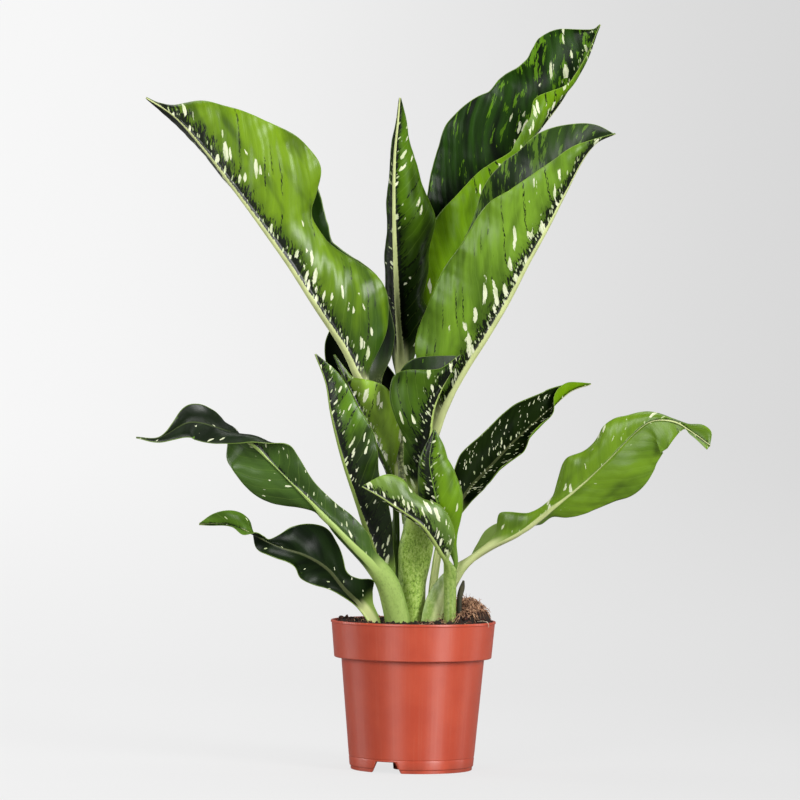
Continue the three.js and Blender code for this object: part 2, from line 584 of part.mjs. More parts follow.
    right: [
      [0, 3, -1, 0.5], [0.09, 6, -1, 0.5], [0.14, 8, 0, 0.5], [0.18, 13, 1, 1], [0.21, 19, 2, 1],
      [0.26, 13, 3, 1], [0.34, 9, 4, 2], [0.42, 18, 4, 3], [0.5, 24, 5, 3], [0.6, 16.4, 8, 3],
      [0.68, 3.1, 7, 2], [0.73, 2.4, -2, 1], [0.77, 3.2, -6, 0.5], [0.81, -2.8, -4, 1], [0.86, -1.1, -1, 1],
      [0.94, -1.3, 0, 0.5], [1, -0.6, -0.3, 0],
    ],
    ripple: [1.2, 7, 0.1],
    rows: 22,
    columns: 3,
  },
  {
    name: "leaf_right_back",
    under: -1,
    spine: [
      [12, 15, 95], [13, 17.1, 115.9], [15.1, 22, 139.7], [19.1, 28.8, 162.6], [28, 38, 184], [41, 48, 204],
      [57, 59, 221], [74, 69, 239], [100.1, 78, 263], [115.5, 86, 276.4], [131, 93, 282],
    ],
    rib: [[0, 2.8, 2.6, 0.6], [0.349, 2.6, 2.6, 0.5], [0.499, 2, 1.8, 0.2], [1, 0.5, 0.2, 0.1]],
    left: [
      [0, -3, -1, 0.5], [0.319, -3, -1, 0.5], [0.419, -10, -3, 1], [0.519, -21.4, -5, 3],
      [0.57, -22, -5.2, 3.6], [0.618, -21.3, -5, 4], [0.67, -20.7, -4.6, 4.1], [0.729, -20.5, -4, 4],
      [0.77, -19.6, -3.7, 3.8], [0.859, -12.4, -3, 3], [0.87, -11.9, -2.8, 2.9], [0.943, -4.1, -1, 2],
      [1, -0.3, 0.3, 0],
    ],
    right: [
      [0, 3, -1, 0.5], [0.319, 3, -1, 0.5], [0.419, 6.5, -7, 1], [0.519, 7.4, -12, 3],
      [0.57, 6.4, -12.9, 3.1], [0.618, 7.9, -13, 3], [0.67, 9.6, -12.7, 3.1], [0.729, 5.3, -12, 3],
      [0.77, 4.1, -11.5, 2.7], [0.83, 3, -8, 1], [0.87, -5, -5, 1], [0.92, -7, -3, 1], [0.96, -4, -1, 0.5],
      [1, -0.6, -0.3, 0],
    ],
    ripple: [1, 6, 0.1],
    rows: 18,
    columns: 3,
  },
  {
    name: "leaf_right_long",
    under: 1,
    spine: [
      [17, -11, 95], [18, -11, 106], [22, -9.3, 122], [29, -8.8, 138], [38, -9.5, 150], [54, -16, 162],
      [76, -26, 174], [99, -38, 192], [121, -49, 211], [140, -59, 230], [154, -64, 245], [167, -69, 255],
      [183, -74, 255], [197, -78, 247], [208, -82, 239],
    ],
    rib: [
      [0, 3.5, 2, 0.6], [0.14, 3, 2.2, 0.6], [0.3, 2.4, 2.2, 0.4], [0.5, 2.2, 2, 0.2], [1, 0.6, 0.2, 0.1],
    ],
    left: [
      [0, -11, 0, 1], [0.06, -13, -1, 1], [0.12, -12, -1, 1], [0.17, -8, 0, 1], [0.22, -3, 1, 0.5],
      [0.28, -3.5, 0, 0.5], [0.32, -7.8, -1, 1], [0.35, -18.5, -1, 2], [0.38, -17.2, 0, 2],
      [0.43, -7.5, 2, 1], [0.5, -6.2, 3, 1], [0.54, -13.2, 3, 2], [0.6, -21.2, 3, 3], [0.65, -16.9, 3, 3.1],
      [0.68, -16, 3, 3], [0.71, -17.2, 2.9, 3.1], [0.74, -19.1, 3, 3], [0.77, -17.2, 3.6, 2.5],
      [0.8, -12, 4, 2], [0.88, -2.2, 3, 1], [0.92, -2.9, 2, 1], [0.95, -8.6, 3, 1], [0.98, -7.9, 3, 1],
      [1, 0.8, 0.3, 0],
    ],
    right: [
      [0, 4, 2, 1], [0.12, 4, 2, 1], [0.2, 2, 3, 0.5], [0.25, -6, 7, 1], [0.29, -12, 8, 1],
      [0.33, -12, 9, 1], [0.39, -3, 8, 1], [0.43, 4, 5, 0.5], [0.47, 5.3, 3, 0.5], [0.5, 11.9, 2.5, 0.7],
      [0.54, 17, 2, 1], [0.58, 20.6, 1, 1.5], [0.62, 24.4, 0, 2], [0.66, 29.6, -0.6, 2.6],
      [0.7, 30.9, -1, 3], [0.74, 28.8, -1.5, 3.1], [0.78, 25.2, -2, 3], [0.8, 24, -2, 2.6],
      [0.83, 23.2, -2, 2], [0.86, 22.6, -1, 1.2], [0.875, 21.3, -0.5, 0.8], [0.89, 19.6, 0, 0.5],
      [0.905, 17.8, 0.1, 0.3], [0.92, 2.3, 0.1, 0.1], [0.94, 2.1, 0, 0], [1, 3.9, 0, 0],
    ],
    ripple: [0.8, 7, 0.2],
    rows: 34,
    columns: 3,
  },
  {
    name: "leaf_back_dark",
    under: -1,
    spine: [
      [-5.8, 10, 178], [-7, 11.5, 187], [-10, 14, 196], [-15, 22.5, 222], [-25, 31, 250], [-36, 35, 274],
      [-48, 40, 298], [-60, 47, 329],
    ],
    rib: [[0.115, 2.6, 2.4, 0.6], [0.336, 2.4, 2.2, 0.4], [0.469, 1.8, 1.4, 0.2], [1, 0.5, 0.2, 0.1]],
    left: [
      [0, -2.6, -2.8, 0.3], [0.115, -2.6, -2, 0.5], [0.292, -4, -1, 0.5], [0.425, -10, 0, 1],
      [0.602, -18, 0, 2], [0.752, -20, 0, 2], [0.894, -15, 0, 1], [1, -0.6, 0.3, 0],
    ],
    right: [
      [0, 2.6, 1.4, 0.3], [0.115, 2.6, 0, 0.5], [0.292, 4, -1, 0.5], [0.425, 16, 0, 2], [0.557, 24, 0, 3],
      [0.69, 22, 0, 3], [0.823, 15, 0, 2], [0.929, 7, 0, 1], [1, 0.7, 0.3, 0],
    ],
    ripple: [0.8, 4, 0.1],
    rows: 14,
    columns: 3,
  },
  {
    name: "sheath_remnant",
    under: 1,
    spine: [[33.4, -13, 98], [33.2, -13, 112], [33.2, -13, 127], [36, -13.5, 138]],
    rib: [[0, 0.8, 0.2, 0.2], [1, 0.5, 0.1, 0.1]],
    left: [[0, -1.6, 0.4, 0.2], [0.6, -1.6, 0.5, 0.2], [0.85, -1.4, 0.5, 0.2], [1, -0.6, 0.3, 0]],
    right: [[0, 1.8, 0.4, 0.2], [0.6, 1.8, 0.6, 0.3], [0.85, 2.4, 0.6, 0.3], [1, 0.6, 0.3, 0]],
    ripple: [0, 1, 0],
    rows: 5,
    columns: 2,
  },
];

// Stems: knots are [height, x, y, radius].
const CANE = [
  [PLANTING_DEPTH, -1, 4, 8.5], [120, -1, 4, 8.3], [150, -2, 4, 7.2], [180, -2, 4, 6.4], [205, -1, 4, 5],
  [212, -1, 4, 3],
];
const SHOOT = [
  [PLANTING_DEPTH, 26.5, -17, 2.8], [110, 26.5, -17, 2.8], [124, 26.5, -17, 2.6], [132, 26.5, -17, 1.8],
  [150, 26.5, -17, 1.4],
];

const plant = new THREE.Group();

function add(name, geometry, { color, roughness }) {
  const material = new THREE.MeshStandardMaterial({ color, roughness, metalness: 0 });
  const mesh = new THREE.Mesh(geometry, material);
  mesh.name = name;
  plant.add(mesh);
}

const planted = LEAVES.filter((leaf) => leaf.spine[0][2] < SOIL_TOP);
const holes = [() => stemGeometry(CANE, FIT), () => stemGeometry(SHOOT, FIT)];
for (const leaf of planted) holes.push(() => leafGeometry(leaf, FIT));

add("pot", potGeometry(), PLASTIC);
add("soil", soilGeometry(holes), EARTH);
add("cane", stemGeometry(CANE), STALK);
add("side_shoot", stemGeometry(SHOOT), STALK);
for (const leaf of LEAVES) add(leaf.name, leafGeometry(leaf), BLADE);

export default plant;
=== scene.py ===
import math
import random

import bmesh
import bpy
import numpy as np
from mathutils import Matrix, Vector, noise


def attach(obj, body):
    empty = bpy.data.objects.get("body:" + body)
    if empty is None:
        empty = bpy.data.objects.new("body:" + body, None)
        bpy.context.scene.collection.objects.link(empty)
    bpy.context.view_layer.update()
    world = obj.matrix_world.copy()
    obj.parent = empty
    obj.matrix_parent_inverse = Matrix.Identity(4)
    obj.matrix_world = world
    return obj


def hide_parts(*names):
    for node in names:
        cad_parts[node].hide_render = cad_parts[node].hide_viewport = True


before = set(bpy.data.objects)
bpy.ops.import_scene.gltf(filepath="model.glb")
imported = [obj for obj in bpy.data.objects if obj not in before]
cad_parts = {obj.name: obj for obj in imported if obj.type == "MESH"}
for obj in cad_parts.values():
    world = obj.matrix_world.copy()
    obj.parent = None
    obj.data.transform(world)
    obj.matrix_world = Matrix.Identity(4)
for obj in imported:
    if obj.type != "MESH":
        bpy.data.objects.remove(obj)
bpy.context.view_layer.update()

# A potted dieffenbachia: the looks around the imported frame. Metres, +Z up, -Y is the plant's front.
# Shapes are written in millimetres, as in the part's source, and scaled as each mesh is filled.

bl_info = {
    "name": "Potted dieffenbachia",
    "version": (1, 0, 0),
    "blender": (4, 5, 0),
    "location": "View3D > Sidebar > Plant",
    "description": "Builds the leaves, stems, soil, pot and stage around the packed frame",
    "category": "Object",
}

MM = 0.001

# Pot, as in the part's source.
POT_HEIGHT = 108
RIM_RADIUS = 60
LIP = 0.4
COLLAR_FOOT = 81
COLLAR_FOOT_RADIUS = 57.2
BODY_TOP_RADIUS = 52
BODY_FOOT_RADIUS = 44.8
WALL = 1.4
FLOOR_UNDERSIDE = 9
PAD_RADIUS = 13
NOTCH_AZIMUTHS = (-115, 22, 120)
NOTCH_WIDTH = 24
NOTCH_SLANT = 4.5
NOTCH_HEIGHT = 8
# Height and depth of the foot's edge and of the fine groove above it.
FOOT_MOULDING = ((2.4, 0.7), (3.0, 0.0), (8.8, 0.0), (9.1, 0.3), (9.6, 0.3), (9.9, 0.0))
POT_ROUNDING = 0.22
POT_FACETS = 288

# Soil, as in the part's source.
SOIL_TOP = 106
SOIL_EDGE = 57.2
HEAP_HEIGHT = 15
HEAP_CENTRE = (36, 8)
HEAP_RADIUS = 20
LUMP_HEIGHT = 1.8
FIT = 0.35
SOIL_FACETS = 170
SOIL_RINGS = 46
SOIL_ROUGHNESS = 2.2

# Litter on the soil. Crumbs bank up toward the left rim, and only fine ones lie in front of the stems.
CRUMB_RADII = (0.4, 1.1)
FINE_CRUMB = 0.7
FINE_CRUMBS_X = (-28, 34)
FINE_CRUMBS_Y = -18
BANK_START = -30
BANK_WIDTH = 27
COIR_REACH = 19
FIBRE_LENGTHS = (5, 15)
FIBRE_RADII = (0.12, 0.42)
FIBRE_LIFTS = (0.1, 1.7)
FIBRE_RISE = 6
FIBRE_CURL = 0.16
FIBRE_STEP = 1.6
STRAY_FIBRE = [(46, -26, 109), (50, -27.5, 109.6), (53.2, -28.6, 108.9), (54.2, -29.2, 107.2), (54.3, -29.6, 104.8)]
STRAY_FIBRE_RADIUS = 0.22

# Leaves. Side veins slant forward from the midrib and bend; fringes are the dark strokes beside the midrib.
# The points across a half stand at the rib steps, counted in rib widths, and then about a column step apart.
BLADE_THICKNESS = 0.8
EDGE_THINNING = 0.45
RIB_STEPS = (0.3, 0.6, 0.85, 1.1, 1.5)
RIB_LARGEST_SHARE = 0.48
ROW_STEP = 1.5
ROW_LIMITS = (30, 250)
COLUMN_STEP = 3
COLUMN_LIMITS = (5, 18)
GROOVE_DEPTH = 0.3
FRILL_HEIGHT = 0.45
SHORT_BULGE = 0.35
LONG_BULGE = 0.9
VEIN_SLANT = 0.9
VEIN_CURVE = 0.012
VEIN_SPACING = 10.0
FRINGE_REACH = 13.0
FRINGE_SPREAD = 18.0
# Cream flecks: pitch along and across the veins in mm, share of the places filled, and a shift of the pattern.
FLECK_SIZES = ((8.5, 11.5, 0.55, 0.0), (5.6, 8.0, 0.6, 11.0))

# Stems, as in the part's source: knots are [height, x, y, radius]. Scars are the heights of old leaf rings.
CANE = [
    [80, -1, 4, 8.5], [120, -1, 4, 8.3], [150, -2, 4, 7.2], [180, -2, 4, 6.4], [205, -1, 4, 5], [212, -1, 4, 3],
]
CANE_SCARS = (118, 131, 146, 163, 182, 198)
SHOOT = [
    [80, 26.5, -17, 2.8], [110, 26.5, -17, 2.8], [124, 26.5, -17, 2.6], [132, 26.5, -17, 1.8], [150, 26.5, -17, 1.4],
]
SHOOT_SCARS = (121, 137)
SCAR_HEIGHT = 0.35
SCAR_WIDTH = 0.9
STEM_INSET = 0.25
STEM_FACETS = 40
STEM_STEP = 1.2

# Stage, in metres and watts; the camera's sensor is in millimetres. A light is its name, its place, the height of its
# aim over the pot's foot, its size and its power.
SENSOR = 36.0
CLIP_END = 50
SWEEP_FRONT = -4.5
SWEEP_FLAT = 5.4
SWEEP_RADIUS = 1.2
SWEEP_LENGTH = 10.0
SWEEP_HALF_WIDTH = 4.0
ROOM_LIGHT = 0.04
LIGHTS = (
    ("right box", (1.62, -1.68, 1.05), 0.3, (0.85, 1.5), 54),
    ("left box", (-1.1, -2.05, 0.85), 0.3, (0.85, 1.5), 27),
    ("far left box", (-2.1, 0.5, 0.8), 0.3, (1.0, 1.4), 17),
    ("side strip", (2.1, 0.5, 0.9), 0.3, (0.4, 1.8), 9),
    ("top box", (0.0, 0.3, 1.9), 0.2, (1.2, 1.0), 11),
)

LEAF_COLOURS = (
    "upper_dark", "upper_green", "upper_light", "under_green", "under_glow", "under_dark", "fleck", "stalk",
    "sheath", "margin",
)

# Both tables below are read by read_table. Commas part the rows, and two spaces begin a line that goes on.

# Leaves, as in the part's source, in millimetres. "under" is 1 where the underside is in front and -1 where the upper
# surface is; ripple is size, waves, phase. Spine points are x y z; rib rows are share of the length, half width,
# depth, shoulder; left and right rows are share, over, back, bow.
LEAF_TABLE = """
leaf_upper_left: under 1, ripple 1.6 7 0.1
 spine: -8.3 -0.5 194, -8.5 -1 208, -9 -2 222, -16 -7.5 254, -37 -14.9 277, -51.9 -24 304.9, -74 -36 337, -95 -43 368,
  -114 -47 394, -133 -51 419, -151 -53 442, -175 -56 468, -196 -58 481
 rib: 0.078 3 3.5 0.6, 0.263 3 4 0.5, 0.355 2.6 3 0.2, 0.723 2 1.8 0.1, 1 0.6 0.2 0.1
 left: 0 -0.2 5 0.3, 0.078 0.5 5 0.5, 0.17 0 6 1, 0.226 8 9 2, 0.281 26 12 4, 0.336 39 13 6, 0.41 47.3 17 9,
  0.465 45.2 22 12, 0.539 34.3 28 14, 0.575 38.8 26.7 14.3, 0.604 43.3 26 15, 0.622 46.6 27.6 16.4,
  0.641 49 30.3 18.5, 0.659 48.5 32 20, 0.7 42.5 32 22, 0.742 38 32 23, 0.834 28 27 19, 0.908 14 17 12, 0.95 3 9 5,
  0.975 0 4 2, 1 -0.6 0.4 0
 right: 0 2.5 -4 0.3, 0.078 3 -3 0.5, 0.207 4 0 0.5, 0.281 7 2 1, 0.355 38 4 4, 0.41 47.8 6 5, 0.465 44.3 12 6,
  0.539 32.6 16 7, 0.57 30.4 15.8 6.8, 0.604 32.5 14 6, 0.622 36.6 11.4 5.1, 0.641 45.3 8 4, 0.677 58.2 4 3,
  0.723 59.5 3 3, 0.77 55.9 4 3, 0.825 44.1 6 3, 0.86 36.9 6.3 2.3, 0.88 31.6 6 2, 0.917 21.1 4 2, 0.945 6.6 2 1,
  0.972 1.9 1 0, 1 0.7 0.3 0
leaf_upper_centre: under 1, ripple 1.6 7 0.3
 spine: -1 4 214.6, -3 6 222, -9 10 262, -12 12.8 308, -15 15 345, -17 18 385, -18 19 415, -18 18 446, -16 16 473,
  -15 16 489
 rib: 0.029 3 3.5 0.6, 0.223 3 3.5 0.5, 0.369 2.6 2.6 0.2, 0.709 1.8 1.6 0.1, 1 0.6 0.2 0.1
 left: 0.029 -3.5 1 0.5, 0.223 -3.5 2 1, 0.339 -6 14 3, 0.514 -8 17 4, 0.611 -5 18 4, 0.757 -3 17 3, 0.903 -2 10 1,
  1 -0.6 0.3 0
 right: 0.029 3.5 1 0.5, 0.223 4 2 1, 0.32 11 12 3, 0.398 24 10 4, 0.475 20 16 6, 0.611 26 16 6, 0.689 29 12 5,
  0.806 17 12 4, 0.903 9 8 2, 1 0.7 0.3 0
leaf_upper_back: under 1, ripple 2.2 7 0.4
 spine: 5.4 7 188, 5.6 9.5 200, 6 13 212, 14 25.3 262, 24.1 39.8 305.1, 37 53 345, 54 66 394, 68 75 432, 80 82 460,
  91 84 475, 105 86 494, 115 87 512, 125 87 530, 134 87 551
 rib: 0.062 3 3.5 0.6, 0.174 3 4 0.5, 0.268 2.6 3 0.2, 0.719 2 1.8 0.1, 1 0.6 0.2 0.1
 left: 0 0.6 -4 0.3, 0.062 -1 -4 0.5, 0.174 -5 -1 0.5, 0.25 -20 -2 3, 0.343 -27 -3 4, 0.437 -35.6 -2 5, 0.531 -42 0 6,
  0.587 -34 -8 6, 0.644 -22.9 -14 6, 0.69 -10 -16.6 5.4, 0.719 -10.1 -17 5, 0.77 -8.9 -14.6 4.5, 0.812 -14.7 -12 4,
  0.887 -0.6 -9 3, 1 -0.6 -0.3 0
 right: 0 -2 4 0.3, 0.062 -3 2 0.5, 0.174 2 5 1, 0.25 -10 20 5, 0.343 -29 26 7, 0.437 -38.9 26 8, 0.512 -47 20 8,
  0.578 -53 16 8, 0.644 -58.7 15 8, 0.68 -60.2 15.5 8.1, 0.719 -59.8 16 8, 0.77 -47.4 15.8 7.6, 0.812 -47.1 15 7,
  0.878 -36.9 11 5, 0.9 -37.4 9.2 4.5, 0.925 -37 7 4, 0.962 -27.6 4 3, 0.986 -4.4 2 1, 1 -0.5 0.4 0
leaf_upper_right: under 1, ripple 2 7 0.2
 spine: 3.4 -1.8 186, 4 -2.2 197, 5 -3 208, 11 -9.2 238, 19.9 -17.3 265, 33.9 -25.9 290.9, 49 -34 315, 64 -40 341,
  77 -46 367, 91 -51 393, 104 -55 419, 116 -57 442, 126 -58 454, 139 -59 460
 rib: 0.069 3 3.5 0.6, 0.255 3.2 4 0.5, 0.367 2.8 3 0.2, 0.721 2 1.8 0.1, 1 0.6 0.2 0.1
 left: 0 -3 -2.4 0.3, 0.069 -3 -3 0.5, 0.209 -4 -1 0.5, 0.274 -12 -1 1, 0.339 -37.5 -2 4, 0.442 -47.1 -3 5,
  0.535 -50.4 -3 6, 0.628 -47.2 -3 6, 0.721 -44.4 -4 5, 0.777 -34.7 -7 4, 0.832 -24.2 -9 4, 0.907 -12.8 -6 3,
  0.953 -2.4 -4 1, 1 -0.6 -0.3 0
 right: 0 2.4 4 0.3, 0.069 1 5.4 0.5, 0.209 2 5 1, 0.274 -4 12 2, 0.349 -26 20 4, 0.442 -38 24 5, 0.535 -44 25 6,
  0.628 -47 24 6, 0.721 -53 20 6, 0.814 -49.2 14 5, 0.86 -42.4 11.6 4.6, 0.907 -34.5 9 4, 0.953 -17.8 5 2, 1 0.6 0.4 0
leaf_front_centre: under 1, ripple 0.8 7 0.2
 spine: -1 -6.5 94, -1 -6.5 112, -1 -7.3 137, -2 -9.7 160, -1 -13 181, 1 -17 200, 5 -23 221, 8 -29 242, 11 -34 262,
  17 -37 277, 24 -38 289, 31 -39 301
 rib: 0 4 2 0.6, 0.3 4 2.4 0.6, 0.42 3 4 0.6, 0.6 3 4 0.4, 0.75 2 2.4 0.1, 1 0.6 0.2 0.1
 left: 0 -9 7 2.5, 0.26 -10 7 2.5, 0.36 -7 4 1.5, 0.44 -4 2 0.5, 0.5 -6 1 0.5, 0.58 -13 0 1, 0.68 -17 0 2,
  0.75 -25 0 3, 0.8 -32 1 3, 0.84 -34 1 3, 0.87 -29 -2 3, 0.9 -15 -4 3, 0.93 -7 -4 2, 1 -0.6 -0.3 0
 right: 0 9 7 2.5, 0.17 9.5 7 2.5, 0.25 13 7 2, 0.32 16 7 2, 0.37 14 6 2, 0.43 8 4 1, 0.5 3 3 0.5, 0.6 -6 8 2,
  0.7 -16 8 2, 0.8 -28 7 2, 0.87 -31 6 2, 0.93 -22 4 1, 1 0.6 0.4 0
leaf_left_front: under 1, ripple 1 8 0.1
 spine: -17 -4 95, -18 -5.7 120, -22 -9.8 141.1, -29 -16.1 160.1, -36 -23 179, -43 -30 199, -50 -36 219, -56 -40 239,
  -61 -42 259, -65 -43 280, -73 -45 300
 rib: 0 3 2.5 0.6, 0.3 2.6 2.5 0.5, 0.45 2.2 2 0.2, 1 0.6 0.2 0.1
 left: 0 -2 3 0.5, 0.25 -3 3 1, 0.36 2 5 2, 0.5 8 6 3, 0.65 14 7 4, 0.8 12 7 4, 0.9 5 5 2, 1 -0.6 0.4 0
 right: 0 3 1 0.5, 0.13 4 1 0.5, 0.2 8 1 0.5, 0.27 12 0 1, 0.37 18 0 1, 0.47 21 0 2, 0.55 21 0 2, 0.63 25 0 2,
  0.7 26 0 2, 0.8 20 0 2, 0.9 12 0 1, 1 0.7 0.3 0
leaf_left_inner: under 1, ripple 0.6 4 0.1
 spine: -10.3 4 122, -11.4 3.4 138, -12.4 1.4 152, -13 -1 174, -15 -5 200, -21 -10 221, -33 -15 245, -47 -21 273,
  -60 -25 300
 rib: 0 2 1.6 0.6, 0.5 2 1.6 0.4, 0.7 1.6 1.2 0.2, 1 0.6 0.2 0.1
 left: 0 0 3.4 0.3, 0.06 -2 3 0.3, 0.12 -9 3 1, 0.22 -10 3 1, 0.27 -6 3 0.5, 0.32 -2 2.4 0.4, 0.45 -2 2 0.5,
  0.6 -3 5 1, 0.8 -2 6 1, 1 -0.6 0.4 0
 right: 0 0.8 -3.4 0.3, 0.1 0.8 -3 0.3, 0.2 2 -1 0.3, 0.42 2.4 1 0, 0.5 4 0 0, 0.55 10 0 1, 0.6 18 0 1, 0.68 23 0 1,
  0.78 25 0 1, 0.82 22 0 1, 0.86 14 0 1, 0.89 6 1 1, 0.94 3 1 0, 1 0.7 0.3 0
leaf_small_upright: under 1, ripple 0.6 4 0.1
 spine: 28.6 -18.5 134, 28.8 -18.1 143, 29.9 -19.1 150, 27.8 -21.9 160, 22 -27.1 175.1, 16 -34 195, 12 -38 212,
  10 -40 226, 13 -42 247
 rib: 0 1.6 0.1 0.6, 0.1 1.7 0.2 0.6, 0.18 2 1.4 0.5, 0.393 1.8 1.4 0.3, 1 0.5 0.2 0.1
 left: 0 -1.2 -1 0.2, 0.12 -1.4 -0.6 0.2, 0.16 -1.6 0 0.2, 0.281 -5 2 0.5, 0.38 -10 4 1, 0.478 -13 6 1, 0.606 -12 6 2,
  0.754 -9 5 2, 0.902 -4 2 1, 1 -0.6 0.3 0
 right: 0 0.3 2.2 0.2, 0.08 0.5 2.2 0.2, 0.15 1.7 1.2 0.2, 0.255 4 1 0.5, 0.393 13 2 1, 0.48 17 3 2, 0.567 19 4 3,
  0.697 17 4 3, 0.827 13 3 2, 0.913 9 2 1, 1 0.7 0.3 0
leaf_small_front: under 1, ripple 0.8 4 0.1
 spine: 26.2 -21.1 98, 26 -21.1 118, 25.7 -21.2 134, 25 -22.6 145, 22.6 -28 153, 19 -32.8 159.1, 13 -39 169,
  6 -44 178, -3 -47 185, -14 -51 192, -25 -53 199, -38 -56 206
 rib: 0 3.4 0.5 0.8, 0.26 3.4 0.5 0.8, 0.34 2.4 1.3 0.6, 0.486 1.8 1.5 0.3, 1 0.5 0.2 0.1
 left: 0 -3.7 4.5 1.2, 0.29 -3.7 4.5 1.2, 0.34 -2.8 2.5 0.6, 0.39 -1.8 0.8 0.2, 0.486 -2 3 0.5, 0.707 -2 6 1,
  0.89 -1 5 1, 1 -0.6 0.3 0
 right: 0 4.6 4.2 1.5, 0.27 4.6 4.2 1.6, 0.31 5.7 3.8 1.8, 0.33 5.1 1.8 1, 0.345 4.1 1.2 0.6, 0.37 2.9 0.8 0.3,
  0.394 2.4 0.5 0.3, 0.42 7 1 0.5, 0.472 13 2 1, 0.53 17 3 2, 0.633 19 3 2, 0.707 15 4 3, 0.78 16 4 3, 0.853 19 3 2,
  0.927 15 2 1, 1 0.7 0.3 0
leaf_left_long: under 1, ripple 0.8 6 0.1
 spine: -10 -17 94, -11 -18.7 106, -15 -23.4 122.1, -21 -29.5 137.2, -31 -37 150.3, -44.9 -45.4 164.4, -63 -54 183,
  -82 -63 202, -101 -71 221, -117 -77 236, -136 -83 245, -159.9 -88 250.2, -181.3 -93 239.3, -197 -98 238.9
 rib: 0 4 2 0.7, 0.199 4 2.6 0.6, 0.338 2.8 3 0.4, 0.447 2.4 2.4 0.2, 1 0.6 0.2 0.1
 left: 0 -9 6 2, 0.119 -8 5 2, 0.248 -5 3 1, 0.358 -4 2 0.5, 0.417 -1.7 2 1, 0.457 -5.8 2 1, 0.527 -19.5 3 2,
  0.56 -23.4 3.7 2.9, 0.596 -25.3 5 3, 0.64 -25.1 6.8 0.1, 0.676 -23.1 10 -3, 0.706 -17.5 20 -6, 0.735 -0.6 21 -4,
  0.777 7.7 15 0, 0.844 12.8 7 2, 0.888 5.4 4 2, 0.942 0.3 3 1, 1 0.6 0.4 0
 right: 0 9 5 2, 0.119 9 5 2, 0.219 8 3 1, 0.248 8 3 1, 0.288 13 3 1, 0.358 14 3 1, 0.417 12 1 1, 0.497 11.8 0 1,
  0.576 16.1 -3 2, 0.626 17.6 -7 0, 0.676 5.6 -13 -5, 0.735 -6 -11 -4, 0.799 -12.2 -7 0, 0.866 -11 -4 1,
  0.932 -4.5 -3 1, 1 -0.1 -0.3 0
leaf_left_low: under -1, ripple 1.2 7 0.1
 spine: -26 -13 95, -29 -15.4 106.1, -38 -23.5 119.2, -48.9 -33.2 130.4, -62 -43 146, -78 -53 156, -96 -61 162,
  -116 -68 171, -133 -72 178, -153 -77 178
 rib: 0 2.8 2.6 0.6, 0.2 2.4 2.4 0.5, 0.4 1.8 1.6 0.2, 1 0.5 0.2 0.1
 left: 0 -3 -2 0.5, 0.2 -3 -1 0.5, 0.3 -6 -3 1, 0.4 -14 -4 2, 0.5 -16 -2 2, 0.6 -8 -5 2, 0.68 -8.5 -2 1,
  0.73 -7.5 3 1, 0.77 2.4 7 0.5, 0.81 8.7 5 1, 0.86 10.6 1 2, 0.94 7.1 0 1, 1 0.6 0.3 0
 right: 0 3 -1 0.5, 0.09 6 -1 0.5, 0.14 8 0 0.5, 0.18 13 1 1, 0.21 19 2 1, 0.26 13 3 1, 0.34 9 4 2, 0.42 18 4 3,
  0.5 24 5 3, 0.6 16.4 8 3, 0.68 3.1 7 2, 0.73 2.4 -2 1, 0.77 3.2 -6 0.5, 0.81 -2.8 -4 1, 0.86 -1.1 -1 1,
  0.94 -1.3 0 0.5, 1 -0.6 -0.3 0
leaf_right_back: under -1, ripple 1 6 0.1
 spine: 12 15 95, 13 17.1 115.9, 15.1 22 139.7, 19.1 28.8 162.6, 28 38 184, 41 48 204, 57 59 221, 74 69 239,
  100.1 78 263, 115.5 86 276.4, 131 93 282
 rib: 0 2.8 2.6 0.6, 0.349 2.6 2.6 0.5, 0.499 2 1.8 0.2, 1 0.5 0.2 0.1
 left: 0 -3 -1 0.5, 0.319 -3 -1 0.5, 0.419 -10 -3 1, 0.519 -21.4 -5 3, 0.57 -22 -5.2 3.6, 0.618 -21.3 -5 4,
  0.67 -20.7 -4.6 4.1, 0.729 -20.5 -4 4, 0.77 -19.6 -3.7 3.8, 0.859 -12.4 -3 3, 0.87 -11.9 -2.8 2.9, 0.943 -4.1 -1 2,
  1 -0.3 0.3 0
 right: 0 3 -1 0.5, 0.319 3 -1 0.5, 0.419 6.5 -7 1, 0.519 7.4 -12 3, 0.57 6.4 -12.9 3.1, 0.618 7.9 -13 3,
  0.67 9.6 -12.7 3.1, 0.729 5.3 -12 3, 0.77 4.1 -11.5 2.7, 0.83 3 -8 1, 0.87 -5 -5 1, 0.92 -7 -3 1, 0.96 -4 -1 0.5,
  1 -0.6 -0.3 0
leaf_right_long: under 1, ripple 0.8 7 0.2
 spine: 17 -11 95, 18 -11 106, 22 -9.3 122, 29 -8.8 138, 38 -9.5 150, 54 -16 162, 76 -26 174, 99 -38 192, 121 -49 211,
  140 -59 230, 154 -64 245, 167 -69 255, 183 -74 255, 197 -78 247, 208 -82 239
 rib: 0 3.5 2 0.6, 0.14 3 2.2 0.6, 0.3 2.4 2.2 0.4, 0.5 2.2 2 0.2, 1 0.6 0.2 0.1
 left: 0 -11 0 1, 0.06 -13 -1 1, 0.12 -12 -1 1, 0.17 -8 0 1, 0.22 -3 1 0.5, 0.28 -3.5 0 0.5, 0.32 -7.8 -1 1,
  0.35 -18.5 -1 2, 0.38 -17.2 0 2, 0.43 -7.5 2 1, 0.5 -6.2 3 1, 0.54 -13.2 3 2, 0.6 -21.2 3 3, 0.65 -16.9 3 3.1,
  0.68 -16 3 3, 0.71 -17.2 2.9 3.1, 0.74 -19.1 3 3, 0.77 -17.2 3.6 2.5, 0.8 -12 4 2, 0.88 -2.2 3 1, 0.92 -2.9 2 1,
  0.95 -8.6 3 1, 0.98 -7.9 3 1, 1 0.8 0.3 0
